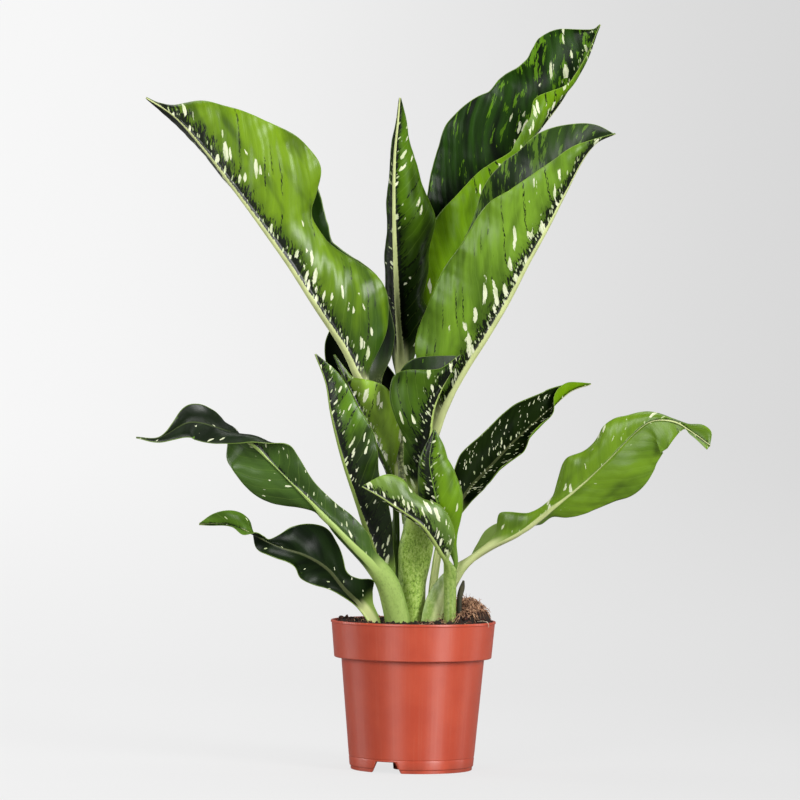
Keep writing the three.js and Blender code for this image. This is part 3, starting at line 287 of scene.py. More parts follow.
 right: 0 4 2 1, 0.12 4 2 1, 0.2 2 3 0.5, 0.25 -6 7 1, 0.29 -12 8 1, 0.33 -12 9 1, 0.39 -3 8 1, 0.43 4 5 0.5,
  0.47 5.3 3 0.5, 0.5 11.9 2.5 0.7, 0.54 17 2 1, 0.58 20.6 1 1.5, 0.62 24.4 0 2, 0.66 29.6 -0.6 2.6, 0.7 30.9 -1 3,
  0.74 28.8 -1.5 3.1, 0.78 25.2 -2 3, 0.8 24 -2 2.6, 0.83 23.2 -2 2, 0.86 22.6 -1 1.2, 0.875 21.3 -0.5 0.8,
  0.89 19.6 0 0.5, 0.905 17.8 0.1 0.3, 0.92 2.3 0.1 0.1, 0.94 2.1 0 0, 1 3.9 0 0
leaf_back_dark: under -1, ripple 0.8 4 0.1
 spine: -5.8 10 178, -7 11.5 187, -10 14 196, -15 22.5 222, -25 31 250, -36 35 274, -48 40 298, -60 47 329
 rib: 0.115 2.6 2.4 0.6, 0.336 2.4 2.2 0.4, 0.469 1.8 1.4 0.2, 1 0.5 0.2 0.1
 left: 0 -2.6 -2.8 0.3, 0.115 -2.6 -2 0.5, 0.292 -4 -1 0.5, 0.425 -10 0 1, 0.602 -18 0 2, 0.752 -20 0 2,
  0.894 -15 0 1, 1 -0.6 0.3 0
 right: 0 2.6 1.4 0.3, 0.115 2.6 0 0.5, 0.292 4 -1 0.5, 0.425 16 0 2, 0.557 24 0 3, 0.69 22 0 3, 0.823 15 0 2,
  0.929 7 0 1, 1 0.7 0.3 0
sheath_remnant: under 1, ripple 0 1 0
 spine: 33.4 -13 98, 33.2 -13 112, 33.2 -13 127, 36 -13.5 138
 rib: 0 0.8 0.2 0.2, 1 0.5 0.1 0.1
 left: 0 -1.6 0.4 0.2, 0.6 -1.6 0.5 0.2, 0.85 -1.4 0.5 0.2, 1 -0.6 0.3 0
 right: 0 1.8 0.4 0.2, 0.6 1.8 0.6 0.3, 0.85 2.4 0.6 0.3, 1 0.6 0.3 0
"""

# How each leaf is marked. "blade" is the share of the length where the blade begins. "pucker", "frill" and "thin_rib"
# scale the bulges between the veins, the frills of the margin and how much the pale rib thins toward the tip.
# "fleck_size" scales the cream flecks, and "sheen" the waxy coat. "speckle" is the strength of the sheath's speckles,
# which end "speckle_end" mm along the leaf; up to there the petiole takes its "Sheath" colour, which on the four
# leaf_upper leaves is a dark green that paints the shade deep in the crown. Colours are 0-255. A row of "under" or
# "upper", the two skins, is share, flecks left and right, dark left and right, glow left and right; a leaf without an
# "upper" line takes PLAIN_UPPER. On the upper skin, dark is painted shade in the fold beside the midrib. Glow is
# partly painted light, a brighter yellow-green where light shines through the blade, as on the right band of
# leaf_left_inner and the tip of leaf_left_front; the dark green and low glow on the lower part of leaf_left_front,
# and the high dark on the left half of leaf_left_inner, paint shade. The near-black colours of leaf_back_dark paint
# the shade it stands in.
PLAIN_UPPER = [[0, 0.4, 0.4, 0.3, 0.3, 0.3, 0.3], [1, 0.3, 0.3, 0.3, 0.3, 0.3, 0.3]]
MARK_TABLE = """
leaf_upper_left: blade 0.25, pucker 0.8, frill 0.8, thin_rib 1.6, sheen 1.1, speckle 0.8, speckle_end 88
 colours: Under_Green 54 88 14, Under_Glow 124 162 20, Sheath 44 66 22
 under: 0.2 0.6 1 0.6 0.5 0.3 0.35, 0.4 0.7 1.3 0.9 0.6 0.3 0.3, 0.55 0.7 0.85 0.9 0.8 0.5 0.5,
  0.75 0.6 0.9 0.9 0.7 0.8 0.95, 1 0.2 0.4 0.9 0.8 0.4 0.5
 upper: 0 0.3 0.3 0.3 0.3 0.2 0.2, 1 0.3 0.3 0.3 0.3 0.3 0.3
leaf_upper_centre: blade 0.3, pucker 0.2, frill 0.5, sheen 0.15, speckle 0.8, speckle_end 62
 colours: Under_Green 26 44 9, Under_Glow 82 120 18, Sheath 44 66 22
 under: 0.2 0.3 0.2 0.9 0.5 0.1 0.1, 0.6 0.4 0.3 0.8 0.5 0.4 0.3, 0.75 0.6 0.4 0.7 0.25 0.9 1.1,
  1 0.6 0.4 0.4 0.2 1.3 1.4
leaf_upper_back: blade 0.17, pucker 0.3, frill 0.8, sheen 0.35, thin_rib 1, speckle 0.8, speckle_end 100
 colours: Upper_Green 40 74 14, Upper_Dark 8 22 4, Sheath 44 66 22
 under: 0.1 0.3 0.3 0.2 0.2 0.5 0.5, 0.6 0.7 0.7 0.3 0.3 0.7 0.7, 1 0.8 0.8 0.6 0.6 0.7 0.7
 upper: 0 0.2 0.2 0.5 0.5 0.1 0.15, 0.6 0.45 0.5 0.5 0.5 0.15 0.35, 0.8 0.8 0.8 0.4 0.4 0.3 0.6,
  1 0.9 0.9 0.4 0.4 0.5 0.8
leaf_upper_right: blade 0.22, pucker 0.6, frill 0.8, fleck_size 1.4, speckle 0.8, speckle_end 58, sheen 0.75
 colours: Under_Green 74 108 22, Under_Glow 126 168 44, Upper_Dark 30 46 24, Upper_Green 52 80 26,
  Upper_Light 98 136 40, Sheath 60 84 30
 under: 0.2 1.2 1.2 0.5 0.5 0.45 0.45, 0.5 1.7 1.7 0.75 0.75 0.55 0.55, 0.8 1.8 1.8 0.6 0.6 0.75 0.75,
  1 0.6 0.6 0.4 0.4 0.6 0.6
 upper: 0 0.1 0.1 0.6 0.6 0.72 0.72, 1 0.2 0.2 0.5 0.5 0.85 0.85
leaf_front_centre: blade 0.5, pucker 0.4, frill 0.5, speckle 1, speckle_end 85, thin_rib 3.5, sheen 0.6
 colours: Under_Green 38 60 14, Under_Glow 84 122 22, Upper_Dark 26 42 14, Upper_Green 42 64 24, Sheath 148 182 76,
  Stalk 194 216 122
 under: 0.4 0.9 0.9 0.9 0.9 0.4 0.3, 0.75 1 1 0.8 0.8 0.45 0.35, 1 0.7 0.7 0.6 0.6 0.5 0.5
 upper: 0 0.1 0.1 0.3 0.3 0.1 0.1, 1 0.25 0.25 0.2 0.2 0.2 0.2
leaf_left_front: blade 0.22, pucker 0.5, frill 0.6, fleck_size 0.6
 colours: Under_Green 30 48 12, Under_Glow 92 134 20, Stalk 150 174 86
 under: 0.15 0.8 0.6 0.9 1 0 0, 0.4 0.9 0.7 0.8 0.8 0 0, 0.6 1 0.6 0.7 0.6 0.2 0.25, 0.8 1 0.5 0.7 0.5 0.5 0.7,
  1 0.7 0.6 0.5 0.5 1 1
leaf_left_inner: blade 0.45, pucker 0.3, frill 0.4
 colours: Stalk 78 108 26, Sheath 60 84 30, Under_Green 42 64 14, Under_Glow 150 190 56
 under: 0.4 0.9 1.2 0.9 0.1 0.1 1.1, 0.7 0.8 1.2 0.6 0.2 0.4 0.8, 1 0.5 0.5 0.3 0.3 0.9 0.9
leaf_small_upright: blade 0.21, pucker 0.3, frill 0.3, fleck_size 0.8
 colours: Stalk 104 140 44
 under: 0.2 0.8 0.2 0.9 0.1 0.6 0.8, 0.6 1 0.25 0.9 0.15 0.5 1, 1 0.5 0.3 0.4 0.2 0.8 0.9
leaf_small_front: blade 0.39, pucker 0.3, frill 0.4, fleck_size 0.8, speckle 0.8, speckle_end 60
 colours: Under_Green 92 126 48, Under_Glow 136 172 64, Stalk 176 196 110
 under: 0.41 1 0.9 0.7 0.6 0.5 0.5, 0.63 1 1 0.6 0.6 0.6 0.6, 1 0.9 0.8 0.3 0.3 0.8 0.8
leaf_left_long: blade 0.2, pucker 0.4, frill 0.6, speckle 0.4, fleck_size 0.5, sheen 0.8
 colours: Upper_Dark 26 38 20, Upper_Green 42 58 32, Under_Green 58 86 30, Under_Glow 84 118 44, Stalk 186 212 120,
  Sheath 142 176 82
 under: 0.2 0.05 0.1 0.1 0.1 0.4 0.4, 0.6 0.1 0.2 0.1 0.2 0.5 0.3, 1 0.3 0.3 0.2 0.2 0.6 0.5
 upper: 0 0.04 0.04 0.5 0.5 0.1 0.1, 1 0.1 0.1 0.4 0.4 0.2 0.2
leaf_left_low: blade 0.14, pucker 0.4, frill 0.9, sheen 0.35, fleck_size 0.3
 colours: Under_Green 60 90 22, Under_Glow 86 122 34, Upper_Green 30 50 16
 under: 0 0.05 0.05 0.1 0.1 0.6 0.6, 1 0.1 0.1 0.1 0.1 0.7 0.7
 upper: 0 0.03 0.03 0.4 0.4 0.05 0.05, 1 0.04 0.04 0.3 0.3 0.1 0.1
leaf_right_back: blade 0.38, pucker 0.3, frill 0.5, sheen 0.03, fleck_size 0.28
 colours: Upper_Dark 14 24 8, Upper_Green 34 50 18
 under: 0 0.1 0.1 0.1 0.1 0.6 0.6, 1 0.1 0.1 0.1 0.1 0.7 0.7
 upper: 0 0.3 0.3 0.3 0.3 0 0, 1 0.45 0.45 0.2 0.2 0.1 0.1
leaf_right_long: blade 0.3, pucker 0.5, frill 0.8, speckle 0.3
 colours: Under_Green 78 112 26, Under_Glow 118 156 30
 under: 0 0.1 0.1 0 0 0.5 0.5, 0.5 0.3 0.15 0.05 0 0.75 0.7, 1 0.4 0.2 0.1 0.1 0.8 0.8
 upper: 0 0.1 0.1 0.7 0.7 0.1 0.1, 1 0.1 0.1 0.5 0.5 0.3 0.3
leaf_back_dark: blade 0.25, pucker 0.4, frill 0.5, sheen 0.02, fleck_size 0.45
 colours: Upper_Dark 2 5 1, Upper_Green 7 14 4
 under: 0 0.3 0.3 0.2 0.2 0.5 0.5, 1 0.3 0.3 0.2 0.2 0.5 0.5
 upper: 0 0 0 0.8 0.8 0 0, 1 0 0 0.7 0.7 0.1 0.1
sheath_remnant: blade 0, pucker 0, frill 0
 under: 0 0 0 1 1 0 0, 1 0 0 1 1 0 0
 upper: 0 0 0 1 1 0 0, 1 0 0 1 1 0 0
"""


def read_table(text):
    """Named entries: words with their numbers on the line of the name, and rows or words on the indented lines."""
    table = {}
    for line in text.strip("\n").replace("\n  ", " ").splitlines():
        label, rest = line.strip().split(": ")
        items = [item.split() for item in rest.split(", ")]
        if items[0][0].isidentifier():
            found = {word: [float(v) for v in values] for word, *values in items}
            found = {word: values[0] if len(values) == 1 else values for word, values in found.items()}
        else:
            found = [[float(v) for v in item] for item in items]
        if line[0] == " ":
            table[name][label] = found
        else:
            name = label
            table[name] = found
    return table


LEAVES = read_table(LEAF_TABLE)
MARKS = read_table(MARK_TABLE)


def srgb(red, green, blue):
    """A colour read off the object, as the linear values that the shaders take."""
    return tuple((v / 255 / 12.92 if v <= 10 else ((v / 255 + 0.055) / 1.055) ** 2.4) for v in (red, green, blue))


def track(knots, shares):
    """Values that run smoothly through their knots. Each knot is [position, value, value, ...]."""
    table = np.array(knots, float)
    at, values = table[:, 0], table[:, 1:]
    last = len(at) - 1
    before = np.maximum(np.arange(last + 1) - 1, 0)
    after = np.minimum(np.arange(last + 1) + 1, last)
    slopes = (values[after] - values[before]) / (at[after] - at[before])[:, None]
    place = np.clip(np.atleast_1d(shares), at[0], at[-1])
    i = np.clip(np.searchsorted(at, place) - 1, 0, last - 1)
    span = (at[i + 1] - at[i])[:, None]
    u = (place - at[i])[:, None] / span
    v, w = values[i], values[i + 1]
    a, b = slopes[i] * span, slopes[i + 1] * span
    return v + u * (a + u * (3 * (w - v) - 2 * a - b + u * (2 * (v - w) + a + b)))


def smooth_step(low, high, x):
    """Rises from 0 at low to 1 at high."""
    u = np.clip((np.asarray(x, float) - low) / (high - low), 0, 1)
    return u * u * (3 - 2 * u)


def unit(vectors):
    """The same directions, one long."""
    return vectors / np.maximum(np.linalg.norm(vectors, axis=-1, keepdims=True), 1e-9)


# Meshes

def new_mesh(name, bm):
    mesh = bpy.data.meshes.new(name)
    bm.to_mesh(mesh)
    bm.free()
    return mesh


def new_object(name, data):
    """An object of a mesh, curve, light or camera, linked to the scene."""
    found = bpy.data.objects.new(name, data)
    bpy.context.scene.collection.objects.link(found)
    return found


def new_thing(name, mesh, material, smooth=True):
    """An object of a mesh in one material."""
    mesh.materials.clear()
    mesh.materials.append(material)
    mesh.polygons.foreach_set("use_smooth", np.full(len(mesh.polygons), smooth))
    return new_object(name, mesh)


def add_piece(name, mesh, material, node=None, smooth=True):
    """A piece that rides on the one body and may take the place of a node of the frame."""
    piece = new_thing(name, mesh, material, smooth)
    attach(piece, "root")
    if node:
        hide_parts(node)


def coordinates(mesh):
    """The places of all points, one in a row."""
    found = np.empty(len(mesh.vertices) * 3)
    mesh.vertices.foreach_get("co", found)
    return found.reshape(-1, 3)


def spun(profile, steps, rounding=0.0):
    """Turns a profile of (radius, height) points about the axis; its corners are rounded first."""
    bm = bmesh.new()
    verts = [bm.verts.new((r * MM, 0, z * MM)) for r, z in profile]
    for a, b in zip(verts, verts[1:]):
        bm.edges.new((a, b))
    if rounding:
        bmesh.ops.bevel(
            bm, geom=verts[1:-1], offset=rounding * MM, offset_type="OFFSET", segments=3, profile=0.5,
            affect="VERTICES", material=-1,
        )
    bmesh.ops.spin(
        bm, geom=bm.verts[:] + bm.edges[:], cent=(0, 0, 0), axis=(0, 0, 1), angle=2 * math.pi,
        steps=steps, use_merge=True,
    )
    bmesh.ops.remove_doubles(bm, verts=bm.verts, dist=1e-6)
    bmesh.ops.recalc_face_normals(bm, faces=bm.faces)
    return bm


def soil_height(x, y):
    """Height of the soil's lumps and heap; the fine roughness comes on top."""
    away = np.hypot(x - HEAP_CENTRE[0], (y - HEAP_CENTRE[1]) * 0.8) / HEAP_RADIUS
    heap = HEAP_HEIGHT * np.exp(-(away**3))
    wide = np.sin(x * 0.37 + 1.3) * np.cos(y * 0.31)
    return SOIL_TOP + heap + LUMP_HEIGHT * (wide + 0.7 * np.sin(x * 0.83 - y * 0.61))


# Leaves

def leaf_halves(leaf, t, outer):
    """For each half: its side, its tracks, its width and how far its points lie from the midrib, in mm."""
    rib = track(leaf["rib"], t)
    ease = 1 - (1 - np.arange(1, outer + 1) / outer) ** 1.3
    for side, key in ((-1, "left"), (1, "right")):
        x, y, bow = track(leaf[key], t).T
        width = np.hypot(x, y)
        inner = np.outer(np.minimum(rib[:, 0], RIB_LARGEST_SHARE * width), RIB_STEPS)
        rest = inner[:, -1:] + (width[:, None] - inner[:, -1:]) * ease
        reach = np.hstack([inner, rest])
        yield side, x[:, None], y[:, None], bow[:, None], width[:, None], reach


def leaf_sheet(leaf, marks, rows, outer, relief):
    """The leaf's middle surface as rows of points, and what the skins and markings need at each point.

    q is the share of a half's width, s the length along the leaf in mm; out is the height over the flat half.
    """
    t = np.linspace(0, 1, rows + 1)
    spine = np.array(leaf["spine"], float)
    reach = np.concatenate([[0], np.cumsum(np.linalg.norm(np.diff(spine, axis=0), axis=1))])
    knots = np.column_stack([reach / reach[-1], spine])
    at = track(knots, t)
    along = unit(track(knots, np.minimum(t + 0.01, 1)) - track(knots, np.maximum(t - 0.01, 0)))
    over = unit(np.cross([0.0, 1.0, 0.0], along))
    back = np.cross(along, over)
    size, waves, phase = leaf["ripple"]
    s = (t * reach[-1])[:, None]
    blade = smooth_step(marks["blade"] - 0.03, marks["blade"] + 0.09, t)[:, None]
    points, across, edge, widths = [], [], [], []
    for side, x, y, bow, width, away in leaf_halves(leaf, t, outer):
        q = away / width

        # Ripples of the margin as in the part's source, then frills and bulges between the veins on the blade.
        wave = size * q * q * np.sin(2 * np.pi * (waves * t[:, None] + phase + side * 0.2))
        wave = wave * np.minimum(width / 20, 1)
        frill = np.sin(0.21 * s + 2.1 * side) + 0.6 * np.sin(0.37 * s + side) + 0.4 * np.sin(0.71 * s + 3 * side)
        wave = wave + FRILL_HEIGHT * relief * marks["frill"] * q**3 * frill * np.minimum(width / 15, 1) * blade
        vein = s - VEIN_SLANT * away - VEIN_CURVE * away**2
        short = np.sin(0.52 * vein + 1.6 * np.sin(0.06 * s + side)) * (0.6 + 0.4 * np.sin(0.05 * s + side))
        swell = SHORT_BULGE * short + LONG_BULGE * np.sin(0.17 * vein + 1.2 * side) * np.sin(0.035 * s + 2 * side)
        wave = wave + relief * marks["pucker"] * 4 * q * (1 - q) * swell * blade * np.minimum(width / 25, 1)
        out = (side * leaf["under"] * (4 * q * (1 - q) * bow + wave)) / width
        fold = over[:, None] * (x * q + y * out)[..., None] + back[:, None] * (y * q - x * out)[..., None]
        half = at[:, None] + fold
        turn = slice(None, None, side)
        points.append(half[:, turn])
        across.append((side * away)[:, turn])
        edge.append((width - away)[:, turn])
        widths.append(np.broadcast_to(width, away.shape)[:, turn])
    centre = np.zeros((rows + 1, 1))

    def join(parts, middle):
        return np.concatenate([parts[0], middle, parts[1]], axis=1)

    wide = join(widths, np.maximum(widths[0][:, :1], widths[1][:, :1]))
    return {
        "t": t,
        "points": join(points, at[:, None]),
        "across": join(across, centre),
        "edge": join(edge, wide[:, wide.shape[1] // 2][:, None]),
        "width": wide,
        "along": np.broadcast_to(s, wide.shape),
        "blade": np.broadcast_to(blade, wide.shape),
        "rib": track(leaf["rib"], t),
    }


def leaf_piece(node, material, relief):
    """One leaf with both skins: sheath, petiole, midrib and blade."""
    leaf, marks = LEAVES[node], MARKS[node]
    name = node.replace("leaf_", "foliage_").replace("sheath_", "withered_sheath_")
    length = np.linalg.norm(np.diff(np.array(leaf["spine"], float), axis=0), axis=1).sum()
    widest = max(math.hypot(k[1], k[2]) for k in leaf["left"] + leaf["right"])
    rows = int(np.clip(length / ROW_STEP, *ROW_LIMITS))
    outer = int(np.clip(widest / COLUMN_STEP, *COLUMN_LIMITS))
    sheet = leaf_sheet(leaf, marks, rows, outer, relief)
    columns = 2 * (outer + len(RIB_STEPS))

    # A flat sheet and its twin underneath, joined along the margin; the formula then gives each point its place.
    bm = bmesh.new()
    bmesh.ops.create_grid(bm, x_segments=columns, y_segments=rows, size=1)
    twin = bmesh.ops.duplicate(bm, geom=bm.verts[:] + bm.edges[:] + bm.faces[:])["geom"]
    bmesh.ops.translate(bm, verts=[g for g in twin if isinstance(g, bmesh.types.BMVert)], vec=(0, 0, -1))
    bmesh.ops.reverse_faces(bm, faces=[g for g in twin if isinstance(g, bmesh.types.BMFace)])
    bmesh.ops.bridge_loops(bm, edges=[e for e in bm.edges if e.is_boundary])
    mesh = new_mesh(name, bm)

    flat = coordinates(mesh)
    if len(flat) != 2 * (rows + 1) * (columns + 1):
        raise RuntimeError(f"{name}: the grid has {len(flat)} points")
    j = np.rint((flat[:, 0] + 1) / 2 * columns).astype(int)
    i = np.rint((flat[:, 1] + 1) / 2 * rows).astype(int)
    far = flat[:, 2] < -0.5
    upper = far if leaf["under"] > 0 else ~far

    points = sheet["points"]
    ahead = np.gradient(points, axis=0)
    aside = np.gradient(points, axis=1)
    normal = unit(np.cross(aside, ahead))[i, j] * np.where(far, -1, 1)[:, None]
    rib_width, rib_depth, shoulder = sheet["rib"][i].T
    away = np.abs(sheet["across"][i, j])
    ratio = away / rib_width
    share = away / sheet["width"][i, j]
    ridge = rib_depth * np.exp(np.log(np.maximum(shoulder, 0.05)) * ratio**2) * (1 - 0.8 * share**3)
    groove = GROOVE_DEPTH * np.exp(-2 * ratio**2) * sheet["blade"][i, j]
    skin = BLADE_THICKNESS / 2 * (1 - EDGE_THINNING * share**6)
    depth = np.where(upper, skin - groove, skin + ridge)
    mesh.vertices.foreach_set("co", ((points[i, j] + normal * depth[:, None]) * MM).ravel())
    mesh.update()

    # What the leaf's shader reads at each point.
    thinning = 1 + marks.get("thin_rib", 0.5) * smooth_step(0.3, 1.0, i / rows)
    half = np.where(sheet["across"][i, j] < 0, 0, 1)
    tone = np.empty((len(flat), 3))
    for key, chosen in (("under", ~upper), ("upper", upper)):
        rows_of = track(marks.get(key, PLAIN_UPPER), sheet["t"])[i]
        for n in range(3):
            tone[chosen, n] = rows_of[np.arange(len(flat)), 2 * n + half][chosen]
    layers = {
        "leaf_place": np.column_stack([sheet["along"][i, j], sheet["across"][i, j], sheet["edge"][i, j]]),
        "leaf_lie": np.column_stack([ratio * thinning, upper, sheet["blade"][i, j]]),
        "leaf_tone": np.clip(tone, 0, 2),
    }
    for label, values in layers.items():
        mesh.attributes.new(label, "FLOAT_VECTOR", "POINT").data.foreach_set("vector", values.astype(float).ravel())
    add_piece(name, mesh, material, node)


# Shading

class Graph:
    """Adds nodes to a tree. A plain value is set on a socket, and a socket is linked to it."""

    def __init__(self, tree):
        self.tree = tree

    def add(self, kind, *values, **settings):
        node = self.tree.nodes.new(kind)
        for key, value in settings.items():
            setattr(node, key, value)
        for socket, value in zip(node.inputs, values):
            self.put(socket, value)
        return node

    def put(self, socket, value):
        if value is None:
            return
        if isinstance(value, bpy.types.NodeSocket):
            self.tree.links.new(value, socket)
        elif isinstance(value, tuple) and len(value) == 3 and socket.type == "RGBA":
            socket.default_value = (*value, 1)
        else:
            socket.default_value = value

    def fill(self, node, **values):
        """Puts values on a node's named inputs; underscores stand for spaces."""
        for label, value in values.items():
            self.put(node.inputs[label.replace("_", " ")], value)
        return node.outputs

    def math(self, operation, a, b=None, c=None):
        return self.add("ShaderNodeMath", a, b, c, operation=operation).outputs[0]

    def scaled(self, value, factor, plus):
        """The value times a factor, plus a number."""
        return self.math("MULTIPLY_ADD", value, factor, plus)

    def plus(self, a, b):
        return self.math("ADD", a, b)

    def less(self, a, b):
        return self.math("SUBTRACT", a, b)

    def most(self, a, b):
        return self.math("MAXIMUM", a, b)

    def product(self, *values):
        found = values[0]
        for value in values[1:]:
            found = self.math("MULTIPLY", found, value)
        return found

    def step(self, value, low, high):
        """Rises smoothly from 0 at low to 1 at high."""
        return self.add("ShaderNodeMapRange", value, low, high, interpolation_type="SMOOTHSTEP").outputs[0]

    def vector(self, x, y, z=0.0):
        return self.add("ShaderNodeCombineXYZ", x, y, z).outputs[0]

    def split(self, vector):
        return self.add("ShaderNodeSeparateXYZ", vector).outputs

    def noise(self, vector, detail=2.0, roughness=0.5, scale=1.0):
        node = self.add("ShaderNodeTexNoise")
        return self.fill(node, Vector=vector, Scale=scale, Detail=detail, Roughness=roughness)["Fac"]

    def cells(self, vector, scale=1.0):
        return self.fill(self.add("ShaderNodeTexVoronoi"), Vector=vector, Scale=scale)

    def mix(self, share, first, second, blend="MIX"):
        node = self.add("ShaderNodeMix", data_type="RGBA", blend_type=blend)
        for index, value in ((0, share), (6, first), (7, second)):
            self.put(node.inputs[index], value)
        return node.outputs[2]

    def over(self, below, above, *mask):
        """One colour laid over another where the product of the mask is high."""
        return self.mix(self.product(*mask), below, above)

    def bump(self, height, strength, distance):
        node = self.add("ShaderNodeBump")
        return self.fill(node, Height=height, Strength=strength, Distance=distance)["Normal"]

    def attribute(self, name):
        return self.add("ShaderNodeAttribute", attribute_name=name).outputs["Vector"]

    def place(self):
        """Object coordinates, in metres."""
        return self.add("ShaderNodeTexCoord").outputs["Object"]

    def nest(self, name, build, **values):
        """The node of a group that several materials use, built the first time it is asked for."""
        tree = bpy.data.node_groups.get(name) or build()
        return self.fill(self.add("ShaderNodeGroup", node_tree=tree), **values)

    def mottled(self, place, patch_scale, grain_scale):
        """Soft patches and fine grain, as masks."""
        found = self.nest("Mottle", mottle, Vector=place, Patch_Scale=patch_scale, Grain_Scale=grain_scale)
        return found["Patches"], found["Grain"]


def group(name, inputs, outputs):
    """A new shader node group, its graph and its two end nodes."""
    tree = bpy.data.node_groups.new(name, "ShaderNodeTree")
    kinds = {"value": "NodeSocketFloat", "colour": "NodeSocketColor", "vector": "NodeSocketVector"}
    for label, kind, start in inputs:
        socket = tree.interface.new_socket(label, in_out="INPUT", socket_type=kinds[kind])
        if start is not None:
            socket.default_value = (*start, 1) if kind == "colour" else start
    for label, kind in outputs:
        tree.interface.new_socket(label, in_out="OUTPUT", socket_type=kinds[kind])
    graph = Graph(tree)
    return graph, tree.nodes.new("NodeGroupInput").outputs, tree.nodes.new("NodeGroupOutput").inputs


def new_material(name):
    """A material with one Principled shader; returns it, its graph and the shader."""
    material = bpy.data.materials.new(name)
    material.use_nodes = True
    return material, Graph(material.node_tree), material.node_tree.nodes["Principled BSDF"]


def leaf_pattern():
    """The markings of a leaf, on its own lengthways and sideways places in millimetres."""
    inputs = [("Place", "vector", None), ("Lie", "vector", None), ("Tone", "vector", None), ("Seed", "value", 0.0)]
    inputs += [("Speckle", "value", 0.0), ("Speckle End", "value", 80.0), ("Fleck Size", "value", 1.0)]
    inputs += [(label.replace("_", " ").title(), "colour", (0.5, 0.5, 0.5)) for label in LEAF_COLOURS]
    g, given, out = group("Leaf pattern", inputs, [("Color", "colour"), ("Roughness", "value"), ("Height", "value")])
    s, x, margin = g.split(given["Place"])
    ratio, upper, blade = g.split(given["Lie"])
    flecks, dark, glow = g.split(given["Tone"])
    green, black, cream, pale, rim = (
        given[label] for label in ("Under Green", "Under Dark", "Fleck", "Stalk", "Margin")
    )
    upper = g.step(upper, 0.4, 0.6)
    away = g.math("ABSOLUTE", x)
    half = g.math("GREATER_THAN", x, 0.0)
    layer = g.scaled(half, 5.3, g.scaled(upper, 9.7, given["Seed"]))

    # The side veins leave the midrib slanting forward and bend toward the tip.
    bend = g.scaled(away, VEIN_CURVE, VEIN_SLANT)
    warp = g.noise(g.vector(g.product(s, 0.05), g.product(x, 0.05), layer), 2.0)
    vein = g.plus(g.less(s, g.product(away, bend)), g.scaled(warp, 8.0, -4.0))

    def lie(along, across, shift):
        """A place with its own pitch along and across the side veins, as cells per mm."""
        return g.vector(g.product(vein, along), g.product(away, across), g.plus(layer, shift))

    def grain(along, across, shift, detail=2.0, roughness=0.5):
        return g.noise(lie(along, across, shift), detail, roughness)

    streak = grain(0.5, 0.04, 0.0, 3.0, 0.6)
    drift = grain(0.08, 0.035, 1.0, 3.0)
    broad = grain(0.022, 0.03, 14.0, 1.0)
    cluster = g.step(grain(0.05, 0.05, 3.0), 0.4, 0.6)
    line = g.math("ABSOLUTE", g.less(g.math("FRACT", g.product(vein, 1 / VEIN_SPACING)), 0.5))

    # Underside: plain to yellowish green, with a faint pale line on each side vein. The yellow-green glow is partly
    # painted light, brighter where light shines through the blade.
    glowing = g.plus(glow, g.scaled(drift, 1.0, -0.5))
    glowing = g.plus(glowing, g.scaled(broad, 1.2, -0.6))
    under = g.mix(g.step(glowing, 0.0, 1.0), green, given["Under Glow"])
    deep = g.mix(0.5, green, black)
    under = g.over(under, deep, g.step(grain(0.03, 0.06, 21.0), 0.48, 0.7), 0.6)
    under = g.over(under, rim, g.step(line, 0.05, 0.01), 0.14)

    # Black-green strokes beside the midrib, thinning out sideways, and broken beads along some of the veins.
    strokes = grain(0.72, 0.27, 2.0, 4.0, 0.7)
    reach = g.noise(g.vector(g.product(s, 0.11), layer, 0.0), 2.0)
    reach = g.product(dark, g.scaled(reach, FRINGE_SPREAD, FRINGE_REACH - FRINGE_SPREAD / 2))
    fall = g.less(1.0, g.math("DIVIDE", away, g.most(reach, 0.1)))
    under = g.over(under, deep, g.step(fall, -0.9, 0.5), 0.5)
    level = g.scaled(g.most(fall, -0.35), -0.3, 0.6)
    fringe = g.step(g.less(strokes, level), -0.008, 0.016)
    number = g.math("FLOOR", g.product(vein, 1 / VEIN_SPACING))
    pick = g.add("ShaderNodeTexWhiteNoise", g.vector(number, layer)).outputs["Value"]
    beads = grain(0.9, 0.7, 6.0)
    run = g.noise(g.vector(g.product(number, 3.1), g.product(away, 0.06), layer), 1.0)
    beads = g.product(g.step(line, 0.14, 0.08), g.step(beads, 0.47, 0.52), g.step(run, 0.44, 0.5))
    beads = g.product(beads, g.math("LESS_THAN", pick, g.product(dark, 0.8)), g.step(away, 45.0, 30.0))
    shade = g.product(g.most(fringe, beads), g.step(dark, 0.02, 0.12))
    under = g.over(under, black, shade, 0.97)

    # Upper surface: dark, with clustered light patches that step from vein to vein; painted shade blackens the fold
    # beside the midrib.
    rough = grain(1.1, 0.6, 9.0)
    ragged = g.scaled(rough, 2.4, -1.2)
    blocks = g.vector(
        g.product(g.math("SNAP", g.plus(vein, ragged), 1.1), 0.15),
        g.product(g.math("SNAP", g.plus(away, ragged), 1.2), 0.21), g.plus(layer, 4.0),
    )
    patch = g.noise(blocks, 5.0, 0.7)
    spread = g.step(grain(0.05, 0.045, 8.0), 0.35, 0.65)
    level = g.scaled(g.product(glow, g.scaled(spread, 0.7, 0.3)), -0.32, 0.72)
    marbling = g.step(g.less(patch, level), -0.01, 0.02)
    lightness = g.step(g.plus(g.product(drift, 0.6), g.product(broad, 0.4)), 0.38, 0.62)
    above = g.mix(lightness, given["Upper Dark"], given["Upper Green"])
    # Painted shade: the fold beside the midrib is darkened toward black.
    above = g.over(above, black, g.step(away, 22.0, 2.0), dark, 1.2)
    above = g.over(above, given["Upper Light"], marbling, 0.9)
    body = g.mix(upper, under, above)
    body = g.mix(0.3, body, g.mix(streak, (0.3, 0.3, 0.3), (0.7, 0.7, 0.7)), "OVERLAY")

